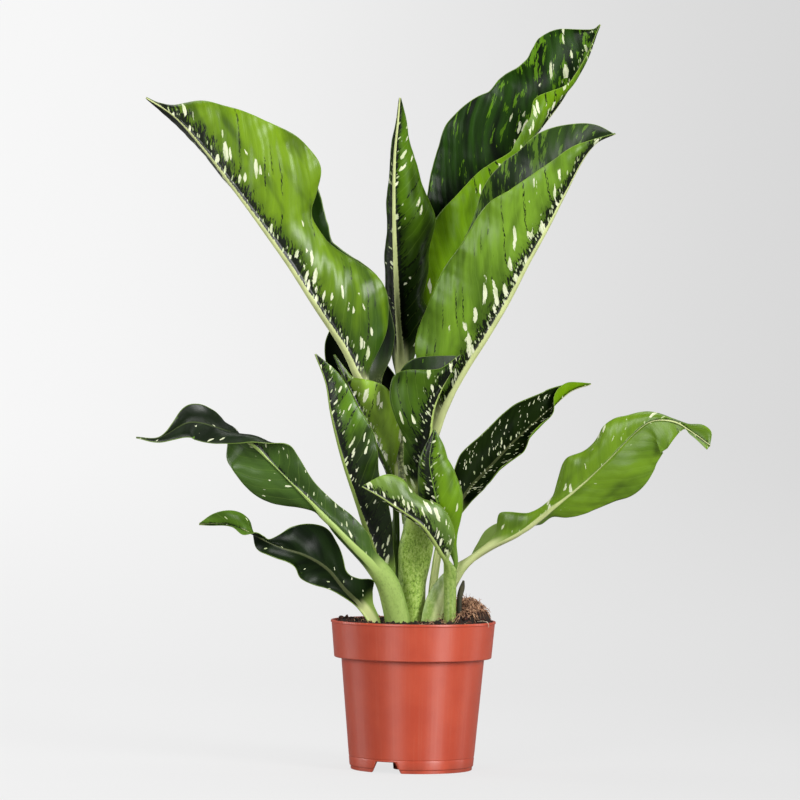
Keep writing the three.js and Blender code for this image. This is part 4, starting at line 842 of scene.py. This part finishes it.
    # Cream flecks: single spots drawn out along the veins, crowded toward the midrib.
    crowd = g.product(flecks, g.step(away, 32.0, 6.0), g.scaled(cluster, 1.1, 0.2))
    spots = None
    for wide, long, part, shift in FLECK_SIZES:
        size = given["Fleck Size"]
        at = g.vector(
            g.math("DIVIDE", g.product(vein, 1 / wide), size), g.math("DIVIDE", g.product(away, 1 / long), size),
            g.plus(layer, shift),
        )
        cell = g.cells(at)
        chance, girth, _ = g.add("ShaderNodeSeparateColor", cell["Color"]).outputs
        gap = g.scaled(rough, 0.3, g.plus(cell["Distance"], -0.15))
        spot = g.step(g.less(gap, g.scaled(girth, 0.17, 0.22)), 0.02, -0.02)
        spot = g.product(spot, g.math("LESS_THAN", chance, g.product(crowd, part)))
        spots = spot if spots is None else g.most(spots, spot)
    tiny = g.cells(lie(0.42, 0.3, 17.0))
    chance = g.add("ShaderNodeSeparateColor", tiny["Color"]).outputs[0]
    near = g.product(flecks, g.step(away, 9.0, 3.0), 0.5)
    dabs = g.product(g.step(tiny["Distance"], 0.34, 0.28), g.math("LESS_THAN", chance, near))
    creamy = g.mix(g.step(grain(0.25, 0.12, 12.0, 1.0), 0.5, 0.62), cream, rim)
    body = g.over(body, g.mix(0.35, cream, creamy), spots, 0.97)
    body = g.over(body, g.mix(0.5, cream, rim), dabs, 0.85)

    # Midrib, petiole and sheath: pale and clean, or finely speckled; the midrib hardly shows on the upper surface.
    bare = g.noise(g.vector(g.product(s, 0.45), g.product(x, 0.8), layer), 4.0, 0.7)
    speckle = g.product(given["Speckle"], g.step(g.less(s, given["Speckle End"]), 8.0, -8.0))
    dots = g.product(g.step(bare, 0.5, 0.58), speckle)
    stalk = g.mix(g.step(drift, 0.3, 0.8), pale, g.mix(0.25, pale, given["Sheath"]))
    # Up to the speckles' end the petiole takes the sheath colour; on the upper leaves that dark green is painted
    # shade deep in the crown.
    wing = g.most(speckle, g.product(g.step(ratio, 1.0, 2.2), 0.92))
    stalk = g.mix(wing, stalk, given["Sheath"])
    stalk = g.over(stalk, deep, g.step(bare, 0.46, 0.36), speckle, 0.55)
    stalk = g.over(stalk, pale, dots, 0.65)
    frayed = g.scaled(g.product(dark, blade, g.less(strokes, 0.5)), 1.1, ratio)
    midrib = g.product(g.step(frayed, 0.68, 0.48), g.scaled(g.product(upper, blade), -0.9, 1.0))
    shaft = g.step(g.plus(blade, g.scaled(drift, 0.2, -0.1)), 0.85, 0.1)
    body = g.mix(g.most(midrib, shaft), body, stalk)
    body = g.over(body, rim, g.step(margin, 0.5, 0.15), 0.55)

    g.put(out["Color"], body)
    gloss = g.scaled(upper, 0.03, 0.33)
    fine = grain(1.6, 0.05, 23.0)
    g.put(out["Roughness"], g.plus(gloss, g.scaled(fine, 0.24, -0.12)))
    wave = g.math("COSINE", g.product(vein, 2 * math.pi / VEIN_SPACING))
    ridge = g.product(wave, 0.3, g.scaled(upper, -1.6, 1.0), g.step(ratio, 0.8, 2.0))
    g.put(out["Height"], g.scaled(streak, 0.3, g.scaled(fine, 0.12, ridge)))
    return g.tree


def mottle():
    """Uneven tone: a mask with soft patches and fine grain."""
    g, given, out = group(
        "Mottle",
        [("Vector", "vector", None), ("Patch Scale", "value", 60.0), ("Grain Scale", "value", 900.0)],
        [("Patches", "value"), ("Grain", "value")],
    )
    patches = g.noise(given["Vector"], 3.0, 0.55, given["Patch Scale"])
    grain = g.noise(given["Vector"], 4.0, 0.6, given["Grain Scale"])
    g.put(out["Patches"], g.step(patches, 0.3, 0.7))
    g.put(out["Grain"], grain)
    return g.tree


# Materials

def leaf_material(name, colours, gloss, marks, seed):
    material, g, shader = new_material(name)
    sheen = marks.get("sheen", 1.0)
    found = g.nest(
        "Leaf pattern", leaf_pattern, Place=g.attribute("leaf_place"), Lie=g.attribute("leaf_lie"),
        Tone=g.attribute("leaf_tone"), Seed=seed, Speckle=marks.get("speckle", 0.05),
        Speckle_End=marks.get("speckle_end", 60.0), Fleck_Size=marks.get("fleck_size", 1.0), **colours,
    )
    g.fill(
        shader, Base_Color=found["Color"], Roughness=found["Roughness"], Normal=g.bump(found["Height"], 0.3, 0.0008),
        Coat_Weight=gloss * sheen, Coat_Roughness=0.34, Specular_IOR_Level=0.3 * sheen,
    )
    return material


def dry_material():
    material, g, shader = new_material("withered sheath")
    patches, grain = g.mottled(g.place(), 160.0, 1400.0)
    tone = g.mix(patches, srgb(38, 40, 24), srgb(78, 74, 44))
    tone = g.over(tone, srgb(24, 22, 14), grain, 0.4)
    g.fill(shader, Base_Color=tone, Roughness=g.scaled(grain, 0.3, 0.5), Normal=g.bump(grain, 0.5, 0.0004))
    return material


def stem_material(colours):
    material, g, shader = new_material("speckled stem")
    place = g.place()
    patches, grain = g.mottled(place, 90.0, 700.0)
    x, y, z = g.split(place)
    spots = g.noise(g.vector(g.product(x, 700.0), g.product(y, 700.0), g.product(z, 230.0)), 3.0, 0.6)
    tone = g.over(colours["Sheath"], srgb(150, 184, 84), patches, 0.5)
    tone = g.over(tone, colours["Stalk"], g.step(spots, 0.5, 0.6), 0.75)
    fibre = g.noise(g.vector(g.product(x, 2200.0), g.product(y, 2200.0), g.product(z, 60.0)))
    g.fill(
        shader, Base_Color=tone, Roughness=g.scaled(grain, 0.2, 0.34), Coat_Weight=0.15, Coat_Roughness=0.3,
        Normal=g.bump(g.plus(fibre, g.product(spots, 0.4)), 0.3, 0.0004),
    )
    return material


def pot_material(colour, shade):
    """Moulded plastic: soft mottling, fine grain, faint upright drag marks and a little dust."""
    material, g, shader = new_material("terracotta plastic")
    place = g.place()
    patches, grain = g.mottled(place, 38.0, 2600.0)
    x, y, z = g.split(place)
    around = g.math("ARCTAN2", y, x)
    drag = g.noise(g.vector(g.product(around, 38.0), g.product(z, 14.0), 2.0), 3.0, 0.55)
    speck = g.cells(place, 420.0)["Distance"]
    tone = g.mix(patches, colour, shade)
    tone = g.over(tone, srgb(226, 150, 122), g.step(drag, 0.45, 0.75), 0.08)
    tone = g.over(tone, srgb(110, 44, 30), g.step(grain, 0.56, 0.72), 0.14)
    dirt = g.product(g.step(speck, 0.09, 0.05), g.step(g.noise(place, scale=90.0), 0.6, 0.68))
    rim = g.step(z, 0.096, 0.107)
    tone = g.over(tone, srgb(64, 42, 32), dirt, g.scaled(rim, 0.5, 0.35))
    foot = g.product(g.step(z, 0.012, 0.0), g.step(patches, 0.2, 0.8))
    tone = g.over(tone, srgb(120, 74, 60), foot, 0.25)
    relief = g.plus(g.product(grain, 0.5), g.product(drag, 0.1))
    g.fill(
        shader, Base_Color=tone, Roughness=g.scaled(grain, 0.2, g.scaled(drag, 0.1, 0.26)),
        Normal=g.bump(relief, 0.16, 0.0004), Specular_IOR_Level=0.85, Anisotropic=0.85, Anisotropic_Rotation=0.25,
        Coat_Weight=0.25, Coat_Roughness=0.3,
    )
    return material


def soil_material(colour, brown):
    material, g, shader = new_material("potting soil")
    place = g.place()
    patches, grain = g.mottled(place, 120.0, 1500.0)
    heap = g.step(g.split(place)[2], 0.109, 0.117)
    crumb = g.cells(place, 520.0)["Distance"]
    tone = g.mix(patches, colour, srgb(58, 42, 32))
    tone = g.over(tone, brown, heap, 0.8)
    tone = g.mix(g.step(grain, 0.42, 0.62), g.mix(0.55, tone, srgb(14, 10, 8)), tone)
    relief = g.less(g.product(grain, 0.8), crumb)
    g.fill(shader, Base_Color=tone, Roughness=0.95, Normal=g.bump(relief, 0.9, 0.0012))
    return material


def litter_material(name, dark, light, patch_scale):
    """Crumbs and fibres: each lump takes its own tone, because the patches are about its size."""
    material, g, shader = new_material(name)
    patches, grain = g.mottled(g.place(), patch_scale, 2400.0)
    tone = g.mix(patches, dark, light)
    g.fill(shader, Base_Color=tone, Roughness=g.scaled(grain, 0.2, 0.72), Normal=g.bump(grain, 0.6, 0.0004))
    return material


def stage_material(colour):
    """Paper that glows with painted light for the camera and is dark for every other ray, and clear from behind."""
    material, g, shader = new_material("pale paper")
    place = g.place()
    x, _, z = g.split(place)
    # Painted light: the paper's glow darkens toward the right and toward the floor, as the light falls off.
    tone = g.mix(g.step(x, -0.55, 0.62), colour, tuple(v * 0.72 for v in colour))
    tone = g.mix(g.step(z, 0.25, -0.05), tone, g.mix(0.5, tone, tuple(v * 0.86 for v in colour)))
    tone = g.over(tone, (0.6, 0.6, 0.6), g.noise(place, scale=2.0), 0.04)
    seen = g.add("ShaderNodeLightPath").outputs["Is Camera Ray"]
    g.fill(
        shader, Base_Color=g.mix(seen, (0.25, 0.25, 0.25), g.mix(0.88, tone, (0.0, 0.0, 0.0))),
        Emission_Color=g.mix(seen, (0.0, 0.0, 0.0), tone), Emission_Strength=0.9, Roughness=0.9,
        Specular_IOR_Level=0.0, Alpha=g.less(1.0, g.add("ShaderNodeNewGeometry").outputs["Backfacing"]),
    )
    return material


# Pot and soil

def wall_radius(z):
    """Outer radius of the pot's body at a height."""
    return BODY_FOOT_RADIUS + (BODY_TOP_RADIUS - BODY_FOOT_RADIUS) * (z - 1) / (COLLAR_FOOT - 1)


def pot_profile():
    """The pot's outline as (radius, height) points, from the middle of the underside round to the floor inside."""
    inner_foot = BODY_FOOT_RADIUS - WALL
    moulding = [(wall_radius(z) - dent, z) for z, dent in FOOT_MOULDING]
    return [
        (0, 0), (PAD_RADIUS, 0), (PAD_RADIUS + 0.8, FLOOR_UNDERSIDE), (inner_foot + 0.4, FLOOR_UNDERSIDE),
        (inner_foot - 0.8, 0), (BODY_FOOT_RADIUS - 0.8, 0), *moulding, (BODY_TOP_RADIUS, COLLAR_FOOT),
        (COLLAR_FOOT_RADIUS - 0.6, COLLAR_FOOT), (COLLAR_FOOT_RADIUS, COLLAR_FOOT + 0.6),
        (RIM_RADIUS - LIP - 0.2, POT_HEIGHT - 2), (RIM_RADIUS, POT_HEIGHT - 1.6), (RIM_RADIUS, POT_HEIGHT - 0.4),
        (RIM_RADIUS - 0.4, POT_HEIGHT), (RIM_RADIUS - WALL - LIP, POT_HEIGHT),
        (COLLAR_FOOT_RADIUS - WALL, COLLAR_FOOT + WALL), (BODY_TOP_RADIUS - WALL, COLLAR_FOOT + WALL),
        (inner_foot + 0.9, FLOOR_UNDERSIDE + WALL), (0, FLOOR_UNDERSIDE + WALL),
    ]


def make_pot(material):
    """The moulding, turned about its axis, with the slanted notches pressed up into its foot."""
    bm = spun(pot_profile(), POT_FACETS, POT_ROUNDING)
    for vert in bm.verts:
        x, y, z = (v / MM for v in vert.co)
        if z > FLOOR_UNDERSIDE - 0.5 or math.hypot(x, y) < BODY_FOOT_RADIUS - 6:
            continue
        for azimuth in NOTCH_AZIMUTHS:
            turn = math.radians(azimuth)
            ahead = x * math.cos(turn) + y * math.sin(turn)
            aside = abs(y * math.cos(turn) - x * math.sin(turn))
            if ahead > 0 and aside < NOTCH_WIDTH / 2:
                height = -1 + (NOTCH_WIDTH / 2 - aside) * (NOTCH_HEIGHT + 1) / NOTCH_SLANT
                vert.co.z = max(z, min(height, NOTCH_HEIGHT)) * MM
    bmesh.ops.dissolve_degenerate(bm, dist=1e-7, edges=bm.edges)
    add_piece("terracotta_pot", new_mesh("terracotta_pot", bm), material, "pot")


def make_soil(material, seed):
    """The soil that fills the pot, rough on top."""
    floor = FLOOR_UNDERSIDE + WALL + FIT
    foot, top, collar = BODY_FOOT_RADIUS - WALL + 0.5, BODY_TOP_RADIUS - WALL - 0.5, COLLAR_FOOT_RADIUS - WALL - 0.5
    profile = [(0, floor), (foot, floor), (top, COLLAR_FOOT), (top, COLLAR_FOOT + WALL + FIT)]
    profile += [(collar, COLLAR_FOOT + WALL + FIT), (SOIL_EDGE, SOIL_TOP - 2)]
    profile += [(SOIL_EDGE * (1 - i / SOIL_RINGS), SOIL_TOP) for i in range(1, SOIL_RINGS + 1)]
    bm = spun(profile, SOIL_FACETS)
    offset = Vector((seed, 0, 0))
    for vert in bm.verts:
        if vert.co.z < (SOIL_TOP - 0.1) * MM:
            continue
        x, y = vert.co.x / MM, vert.co.y / MM
        edge = min((SOIL_EDGE - math.hypot(x, y)) / 4, 1)
        rough = noise.turbulence(Vector((x, y, 0)) * 0.22 + offset, 4, True) - 0.5
        vert.co.z = (soil_height(x, y) + max(edge, 0) * SOIL_ROUGHNESS * rough) * MM
    bm.normal_update()
    add_piece("soil_bed", new_mesh("soil_bed", bm), material, "soil")


def make_crumbs(material, count, seed):
    """Loose crumbs on the soil, higher against the left rim and on the heap."""
    dice = random.Random(seed)
    bm = bmesh.new()
    for n in range(count):
        angle = dice.uniform(0, 2 * math.pi)
        radius = (SOIL_EDGE - 1.5) * math.sqrt(dice.random())
        x, y = radius * math.cos(angle), radius * math.sin(angle)
        left = max(0.0, (BANK_START - x) / BANK_WIDTH)
        size = dice.uniform(*CRUMB_RADII) + 0.9 * dice.random() ** 4 + left * dice.uniform(0, 0.9)
        if y < FINE_CRUMBS_Y and FINE_CRUMBS_X[0] < x < FINE_CRUMBS_X[1]:
            size = min(size, FINE_CRUMB)
        lift = dice.uniform(-0.3, 0.5) * size + left * dice.uniform(-0.5, 2.2)
        lump = bmesh.ops.create_icosphere(bm, subdivisions=2 if size > 1.7 else 1, radius=size * MM)["verts"]
        for vert in lump:
            vert.co *= 1 + 0.5 * noise.noise(vert.co * (0.9 / (size * MM)) + Vector((n * 1.7, 0, 0)))
        turn = Matrix.Rotation(dice.uniform(0, 6.3), 3, Vector((dice.random(), dice.random(), 1)).normalized())
        squash = Matrix.Diagonal((dice.uniform(0.8, 1.3), dice.uniform(0.8, 1.2), dice.uniform(0.6, 1.0)))
        bmesh.ops.transform(bm, matrix=(turn @ squash).to_4x4(), verts=lump)
        bmesh.ops.translate(bm, vec=Vector((x, y, float(soil_height(x, y)) + lift)) * MM, verts=lump)
    add_piece("soil_crumbs", new_mesh("soil_crumbs", bm), material, smooth=False)


def fibre_path(dice, start, heading, length, lift, rise):
    """Points of one loose fibre that lies on the soil or sticks out of it."""
    points, x, y = [], *start
    steps = max(4, int(length / FIBRE_STEP))
    turn = dice.uniform(-FIBRE_CURL, FIBRE_CURL)
    phase = dice.uniform(0, 6)
    for i in range(steps + 1):
        share = i / steps
        z = float(soil_height(x, y)) + lift + 0.9 * math.sin(phase + 5 * share) * share + rise * share**1.5
        radius = math.hypot(x, y)
        if radius > SOIL_EDGE - 0.6:
            z = max(z, POT_HEIGHT + 0.35)
        points.append((x, y, z))
        heading += turn + dice.uniform(-FIBRE_CURL, FIBRE_CURL)
        x += length / steps * math.cos(heading)
        y += length / steps * math.sin(heading)
    return points


def tube_mesh(name, paths):
    """Fibres as one mesh: each path is (points, thickness)."""
    curve = bpy.data.curves.new(name, "CURVE")
    curve.dimensions = "3D"
    curve.bevel_depth = MM
    curve.bevel_resolution = 0
    curve.use_fill_caps = True
    for points, thickness in paths:
        spline = curve.splines.new("POLY")
        spline.points.add(len(points) - 1)
        for i, (point, (x, y, z)) in enumerate(zip(spline.points, points)):
            point.co = (x * MM, y * MM, z * MM, 1)
            share = i / (len(points) - 1)
            point.radius = thickness * (1 - 0.6 * abs(2 * share - 1) ** 3)
    holder = new_object(name, curve)
    mesh = bpy.data.meshes.new_from_object(holder.evaluated_get(bpy.context.evaluated_depsgraph_get()))
    bpy.data.objects.remove(holder)
    bpy.data.curves.remove(curve)
    mesh.name = name
    return mesh


def make_fibres(material, count, seed):
    """Coir on the heap, with a few strays over the rest of the soil."""
    dice = random.Random(seed)
    paths = []
    for n in range(count):
        angle, away = dice.uniform(0, 2 * math.pi), math.sqrt(dice.random())
        x, y = away * math.cos(angle), away * math.sin(angle)
        # Five of six lie on the heap, the sixth anywhere.
        if n % 6:
            x, y = HEAP_CENTRE[0] - 3 + COIR_REACH * x, HEAP_CENTRE[1] + 1.25 * COIR_REACH * y
        else:
            x, y = (SOIL_EDGE - 8) * x, (SOIL_EDGE - 8) * y
        if math.hypot(x, y) > SOIL_EDGE - 2:
            continue
        rise = dice.uniform(0, FIBRE_RISE) if n % 3 == 1 else 0
        length = dice.uniform(*FIBRE_LENGTHS)
        path = fibre_path(dice, (x, y), dice.uniform(0, 6.3), length, dice.uniform(*FIBRE_LIFTS), rise)
        path = [p for p in path if math.hypot(p[0], p[1]) < SOIL_EDGE]
        if len(path) > 3:
            paths.append((path, dice.uniform(*FIBRE_RADII)))
    add_piece("coir_fibres", tube_mesh("coir_fibres", paths), material)


def make_stray_fibre(material):
    """The pale fibre that hangs over the rim at the right."""
    mesh = tube_mesh("stray_fibre", [(STRAY_FIBRE, STRAY_FIBRE_RADIUS)])
    add_piece("stray_fibre", mesh, material)


def make_stem(name, node, knots, scars, material):
    """A round stem that follows its knots, with faint rings where old leaves sat."""
    low, high = knots[0][0], knots[-1][0]
    steps = int((high - low) / STEM_STEP)
    heights = [low + (high - low) * i / steps for i in range(steps + 1)]
    profile = [(0, low)] + [(1, z) for z in heights] + [(0, high)]
    bm = spun(profile, STEM_FACETS)
    for vert in bm.verts:
        z = vert.co.z / MM
        x, y, radius = track(knots, z)[0]
        ring = sum(SCAR_HEIGHT * math.exp(-(((z - scar) / SCAR_WIDTH) ** 2)) for scar in scars)
        share = math.hypot(vert.co.x, vert.co.y) / MM
        turn = math.atan2(vert.co.y, vert.co.x)
        rib = 0.12 * math.cos(9 * turn) + 0.07 * math.cos(23 * turn + 0.05 * z)
        away = share * (radius - STEM_INSET + ring + rib)
        vert.co.x, vert.co.y = (x + away * math.cos(turn)) * MM, (y + away * math.sin(turn)) * MM
    bm.normal_update()
    add_piece(name, new_mesh(name, bm), material, node)


# Stage

def make_sweep(material):
    """A floor that runs up into a backdrop, in one curved sheet."""
    bm = bmesh.new()
    bmesh.ops.create_grid(bm, x_segments=8, y_segments=96, size=1)
    for vert in bm.verts:
        length = (vert.co.y + 1) / 2 * SWEEP_LENGTH
        bend = SWEEP_RADIUS * math.pi / 2
        angle = min(max(length - SWEEP_FLAT, 0), bend) / SWEEP_RADIUS
        y = SWEEP_FRONT + min(length, SWEEP_FLAT) + SWEEP_RADIUS * math.sin(angle)
        z = SWEEP_RADIUS * (1 - math.cos(angle)) + max(length - SWEEP_FLAT - bend, 0)
        vert.co = (vert.co.x * SWEEP_HALF_WIDTH, y, z)
    sweep = new_thing("paper_sweep", new_mesh("paper_sweep", bm), material)


def make_light(name, place, aim_height, size, power):
    lamp = bpy.data.lights.new(name, "AREA")
    lamp.shape = "RECTANGLE"
    lamp.size, lamp.size_y = size
    lamp.energy = power
    light = new_object(name, lamp)
    light.location = place
    light.rotation_euler = (Vector((0, 0, aim_height)) - Vector(place)).to_track_quat("-Z", "Y").to_euler()


# Settings, operators and panel

def colour_setting(name, description, red, green, blue):
    return bpy.props.FloatVectorProperty(
        name=name, description=description, subtype="COLOR", size=3, min=0, max=1, default=srgb(red, green, blue)
    )


class PlantLeafSettings(bpy.types.PropertyGroup):
    upper_dark: colour_setting("Upper dark", "Darkest green of the upper surface", 10, 24, 5)
    upper_green: colour_setting("Upper green", "Middle green of the upper surface", 40, 70, 18)
    upper_light: colour_setting("Upper marbling", "Light green marbling of the upper surface", 96, 142, 22)
    under_green: colour_setting("Underside", "Plain green of the underside", 66, 100, 14)
    # The glow colour is partly painted light: it brightens the blade where light shines through it.
    under_glow: colour_setting("Underside glow", "Yellowish green of the underside", 112, 154, 14)
    # This colour also paints the shade in the fold beside the midrib on the upper surface.
    under_dark: colour_setting("Underside patches", "Black-green strokes of the underside", 7, 15, 4)
    fleck: colour_setting("Flecks", "Cream flecks between the veins", 240, 244, 208)
    stalk: colour_setting("Stalk", "Midribs, petioles and sheaths", 222, 232, 160)
    sheath: colour_setting("Sheath", "Wings of the sheaths", 128, 160, 66)
    margin: colour_setting("Margin", "Thin line along the edge of a blade", 150, 182, 80)
    gloss: bpy.props.FloatProperty(
        name="Gloss", description="Strength of the waxy coat", subtype="FACTOR", min=0, max=1, default=0.22
    )
    relief: bpy.props.FloatProperty(
        name="Relief", description="Height of puckers and frills", subtype="FACTOR", min=0, max=2, default=1
    )
    seed: bpy.props.IntProperty(name="Seed", description="Start of the leaf markings", min=0, default=3)


class PlantPotSettings(bpy.types.PropertyGroup):
    colour: colour_setting("Pot", "Terracotta of the pot", 210, 85, 56)
    shade: colour_setting("Pot mottling", "Second tone of the pot", 201, 77, 50)
    soil: colour_setting("Soil", "Dark compost", 36, 27, 21)
    coir: colour_setting("Coir", "Brown of the heap", 98, 62, 40)
    crumbs: bpy.props.IntProperty(name="Crumbs", description="Number of loose crumbs", min=0, max=900, default=650)
    fibres: bpy.props.IntProperty(name="Fibres", description="Number of coir fibres", min=0, max=900, default=620)
    seed: bpy.props.IntProperty(name="Seed", description="Start of the random lie of the litter", min=0, default=11)


class PlantStageSettings(bpy.types.PropertyGroup):
    paper: colour_setting("Paper", "Floor and backdrop", 250, 250, 250)
    camera_away: bpy.props.FloatProperty(
        name="Camera distance", description="From the camera to the pot's axis", unit="LENGTH", min=0.5, default=3.0
    )
    camera_height: bpy.props.FloatProperty(
        name="Camera height", description="Camera above the floor", unit="LENGTH", default=0.268
    )
    camera_side: bpy.props.FloatProperty(
        name="Camera aside", description="Camera to the right of the pot's axis", unit="LENGTH", default=-0.0119
    )
    camera_roll: bpy.props.FloatProperty(
        name="Camera roll", description="Turn about the line of sight", unit="ROTATION", default=math.radians(-0.8)
    )
    view_width: bpy.props.FloatProperty(
        name="View width", description="Width seen at the pot's axis", unit="LENGTH", min=0.1, default=0.58184
    )


def leaf_colours(settings):
    return {name.title(): tuple(getattr(settings, name)) for name in LEAF_COLOURS}


class PLANT_OT_add_pot(bpy.types.Operator):
    """Adds the terracotta pot"""

    bl_idname = "plant.add_pot"
    bl_label = "Add Pot"

    def execute(self, context):
        pot = context.scene.plant_pot
        make_pot(pot_material(tuple(pot.colour), tuple(pot.shade)))
        return {"FINISHED"}


class PLANT_OT_add_soil(bpy.types.Operator):
    """Adds the soil, its crumbs and its coir"""

    bl_idname = "plant.add_soil"
    bl_label = "Add Soil"

    def execute(self, context):
        pot = context.scene.plant_pot
        make_soil(soil_material(tuple(pot.soil), tuple(pot.coir)), pot.seed)
        crumb = litter_material("soil crumbs", srgb(30, 16, 12), srgb(88, 48, 34), 260.0)
        make_crumbs(crumb, pot.crumbs, pot.seed)
        coir = litter_material("coir", srgb(104, 66, 46), srgb(214, 168, 132), 420.0)
        make_fibres(coir, pot.fibres, pot.seed + 1)
        make_stray_fibre(litter_material("pale fibre", srgb(206, 190, 160), srgb(236, 226, 204), 300.0))
        return {"FINISHED"}


class PLANT_OT_add_stems(bpy.types.Operator):
    """Adds the cane and the side shoot"""

    bl_idname = "plant.add_stems"
    bl_label = "Add Stems"

    def execute(self, context):
        material = stem_material(leaf_colours(context.scene.plant_leaves))
        make_stem("cane_stalk", "cane", CANE, CANE_SCARS, material)
        make_stem("side_shoot_stalk", "side_shoot", SHOOT, SHOOT_SCARS, material)
        return {"FINISHED"}


class PLANT_OT_add_leaves(bpy.types.Operator):
    """Adds the leaves, each with its sheath, petiole, midrib and blade"""

    bl_idname = "plant.add_leaves"
    bl_label = "Add Leaves"

    def execute(self, context):
        settings = context.scene.plant_leaves
        colours = leaf_colours(settings)
        for n, node in enumerate(LEAVES):
            if node == "sheath_remnant":
                continue
            marks = MARKS[node]
            own = {key: srgb(*rgb) for key, rgb in marks.get("colours", {}).items()}
            seed = settings.seed + 1.37 * n
            material = leaf_material(node.replace("_", " "), colours | own, settings.gloss, marks, seed)
            leaf_piece(node, material, settings.relief)
        return {"FINISHED"}


class PLANT_OT_add_withered_sheath(bpy.types.Operator):
    """Adds the dark, dry sheath beside the side shoot"""

    bl_idname = "plant.add_withered_sheath"
    bl_label = "Add Withered Sheath"

    def execute(self, context):
        leaf_piece("sheath_remnant", dry_material(), 1.0)
        return {"FINISHED"}


class PLANT_OT_add_stage(bpy.types.Operator):
    """Adds the paper sweep, the lights and the camera"""

    bl_idname = "plant.add_stage"
    bl_label = "Add Stage"

    def execute(self, context):
        scene = context.scene
        stage = scene.plant_stage
        make_sweep(stage_material(tuple(stage.paper)))
        for light in LIGHTS:
            make_light(*light)
        world = bpy.data.worlds.new("soft room")
        world.use_nodes = True
        room = world.node_tree.nodes["Background"].inputs
        room["Color"].default_value = (1, 1, 1, 1)
        room["Strength"].default_value = ROOM_LIGHT
        scene.world = world
        scene.view_settings.view_transform = "Standard"
        lens = bpy.data.cameras.new("photo camera")
        lens.sensor_width = SENSOR
        lens.lens = SENSOR * stage.camera_away / stage.view_width
        lens.clip_end = CLIP_END
        camera = new_object("photo_camera", lens)
        camera.location = (stage.camera_side, -stage.camera_away, stage.camera_height)
        camera.rotation_euler = (math.pi / 2, stage.camera_roll, 0)
        scene.camera = camera
        return {"FINISHED"}


class VIEW3D_PT_plant(bpy.types.Panel):
    """Sizes, colours and building steps of the plant"""

    bl_label = "Potted Dieffenbachia"
    bl_space_type = "VIEW_3D"
    bl_region_type = "UI"
    bl_category = "Plant"

    def draw(self, context):
        scene = context.scene
        for title, settings, operators in (
            ("Pot and soil", scene.plant_pot, ("plant.add_pot", "plant.add_soil")),
            ("Plant", scene.plant_leaves, ("plant.add_stems", "plant.add_leaves", "plant.add_withered_sheath")),
            ("Stage", scene.plant_stage, ("plant.add_stage",)),
        ):
            box = self.layout.box()
            box.label(text=title)
            for name in settings.__annotations__:
                box.prop(settings, name)
            for operator in operators:
                box.operator(operator)


CLASSES = (
    PlantLeafSettings, PlantPotSettings, PlantStageSettings, PLANT_OT_add_pot, PLANT_OT_add_soil,
    PLANT_OT_add_stems, PLANT_OT_add_leaves, PLANT_OT_add_withered_sheath, PLANT_OT_add_stage, VIEW3D_PT_plant,
)


def register():
    for cls in CLASSES:
        bpy.utils.register_class(cls)
    bpy.types.Scene.plant_leaves = bpy.props.PointerProperty(type=PlantLeafSettings)
    bpy.types.Scene.plant_pot = bpy.props.PointerProperty(type=PlantPotSettings)
    bpy.types.Scene.plant_stage = bpy.props.PointerProperty(type=PlantStageSettings)


def unregister():
    for name in ("plant_leaves", "plant_pot", "plant_stage"):
        delattr(bpy.types.Scene, name)
    for cls in reversed(CLASSES):
        bpy.utils.unregister_class(cls)


def main():
    register()
    bpy.ops.plant.add_stage()
    bpy.ops.plant.add_pot()
    bpy.ops.plant.add_soil()
    bpy.ops.plant.add_stems()
    bpy.ops.plant.add_leaves()
    bpy.ops.plant.add_withered_sheath()


if __name__ == "__main__":
    main()
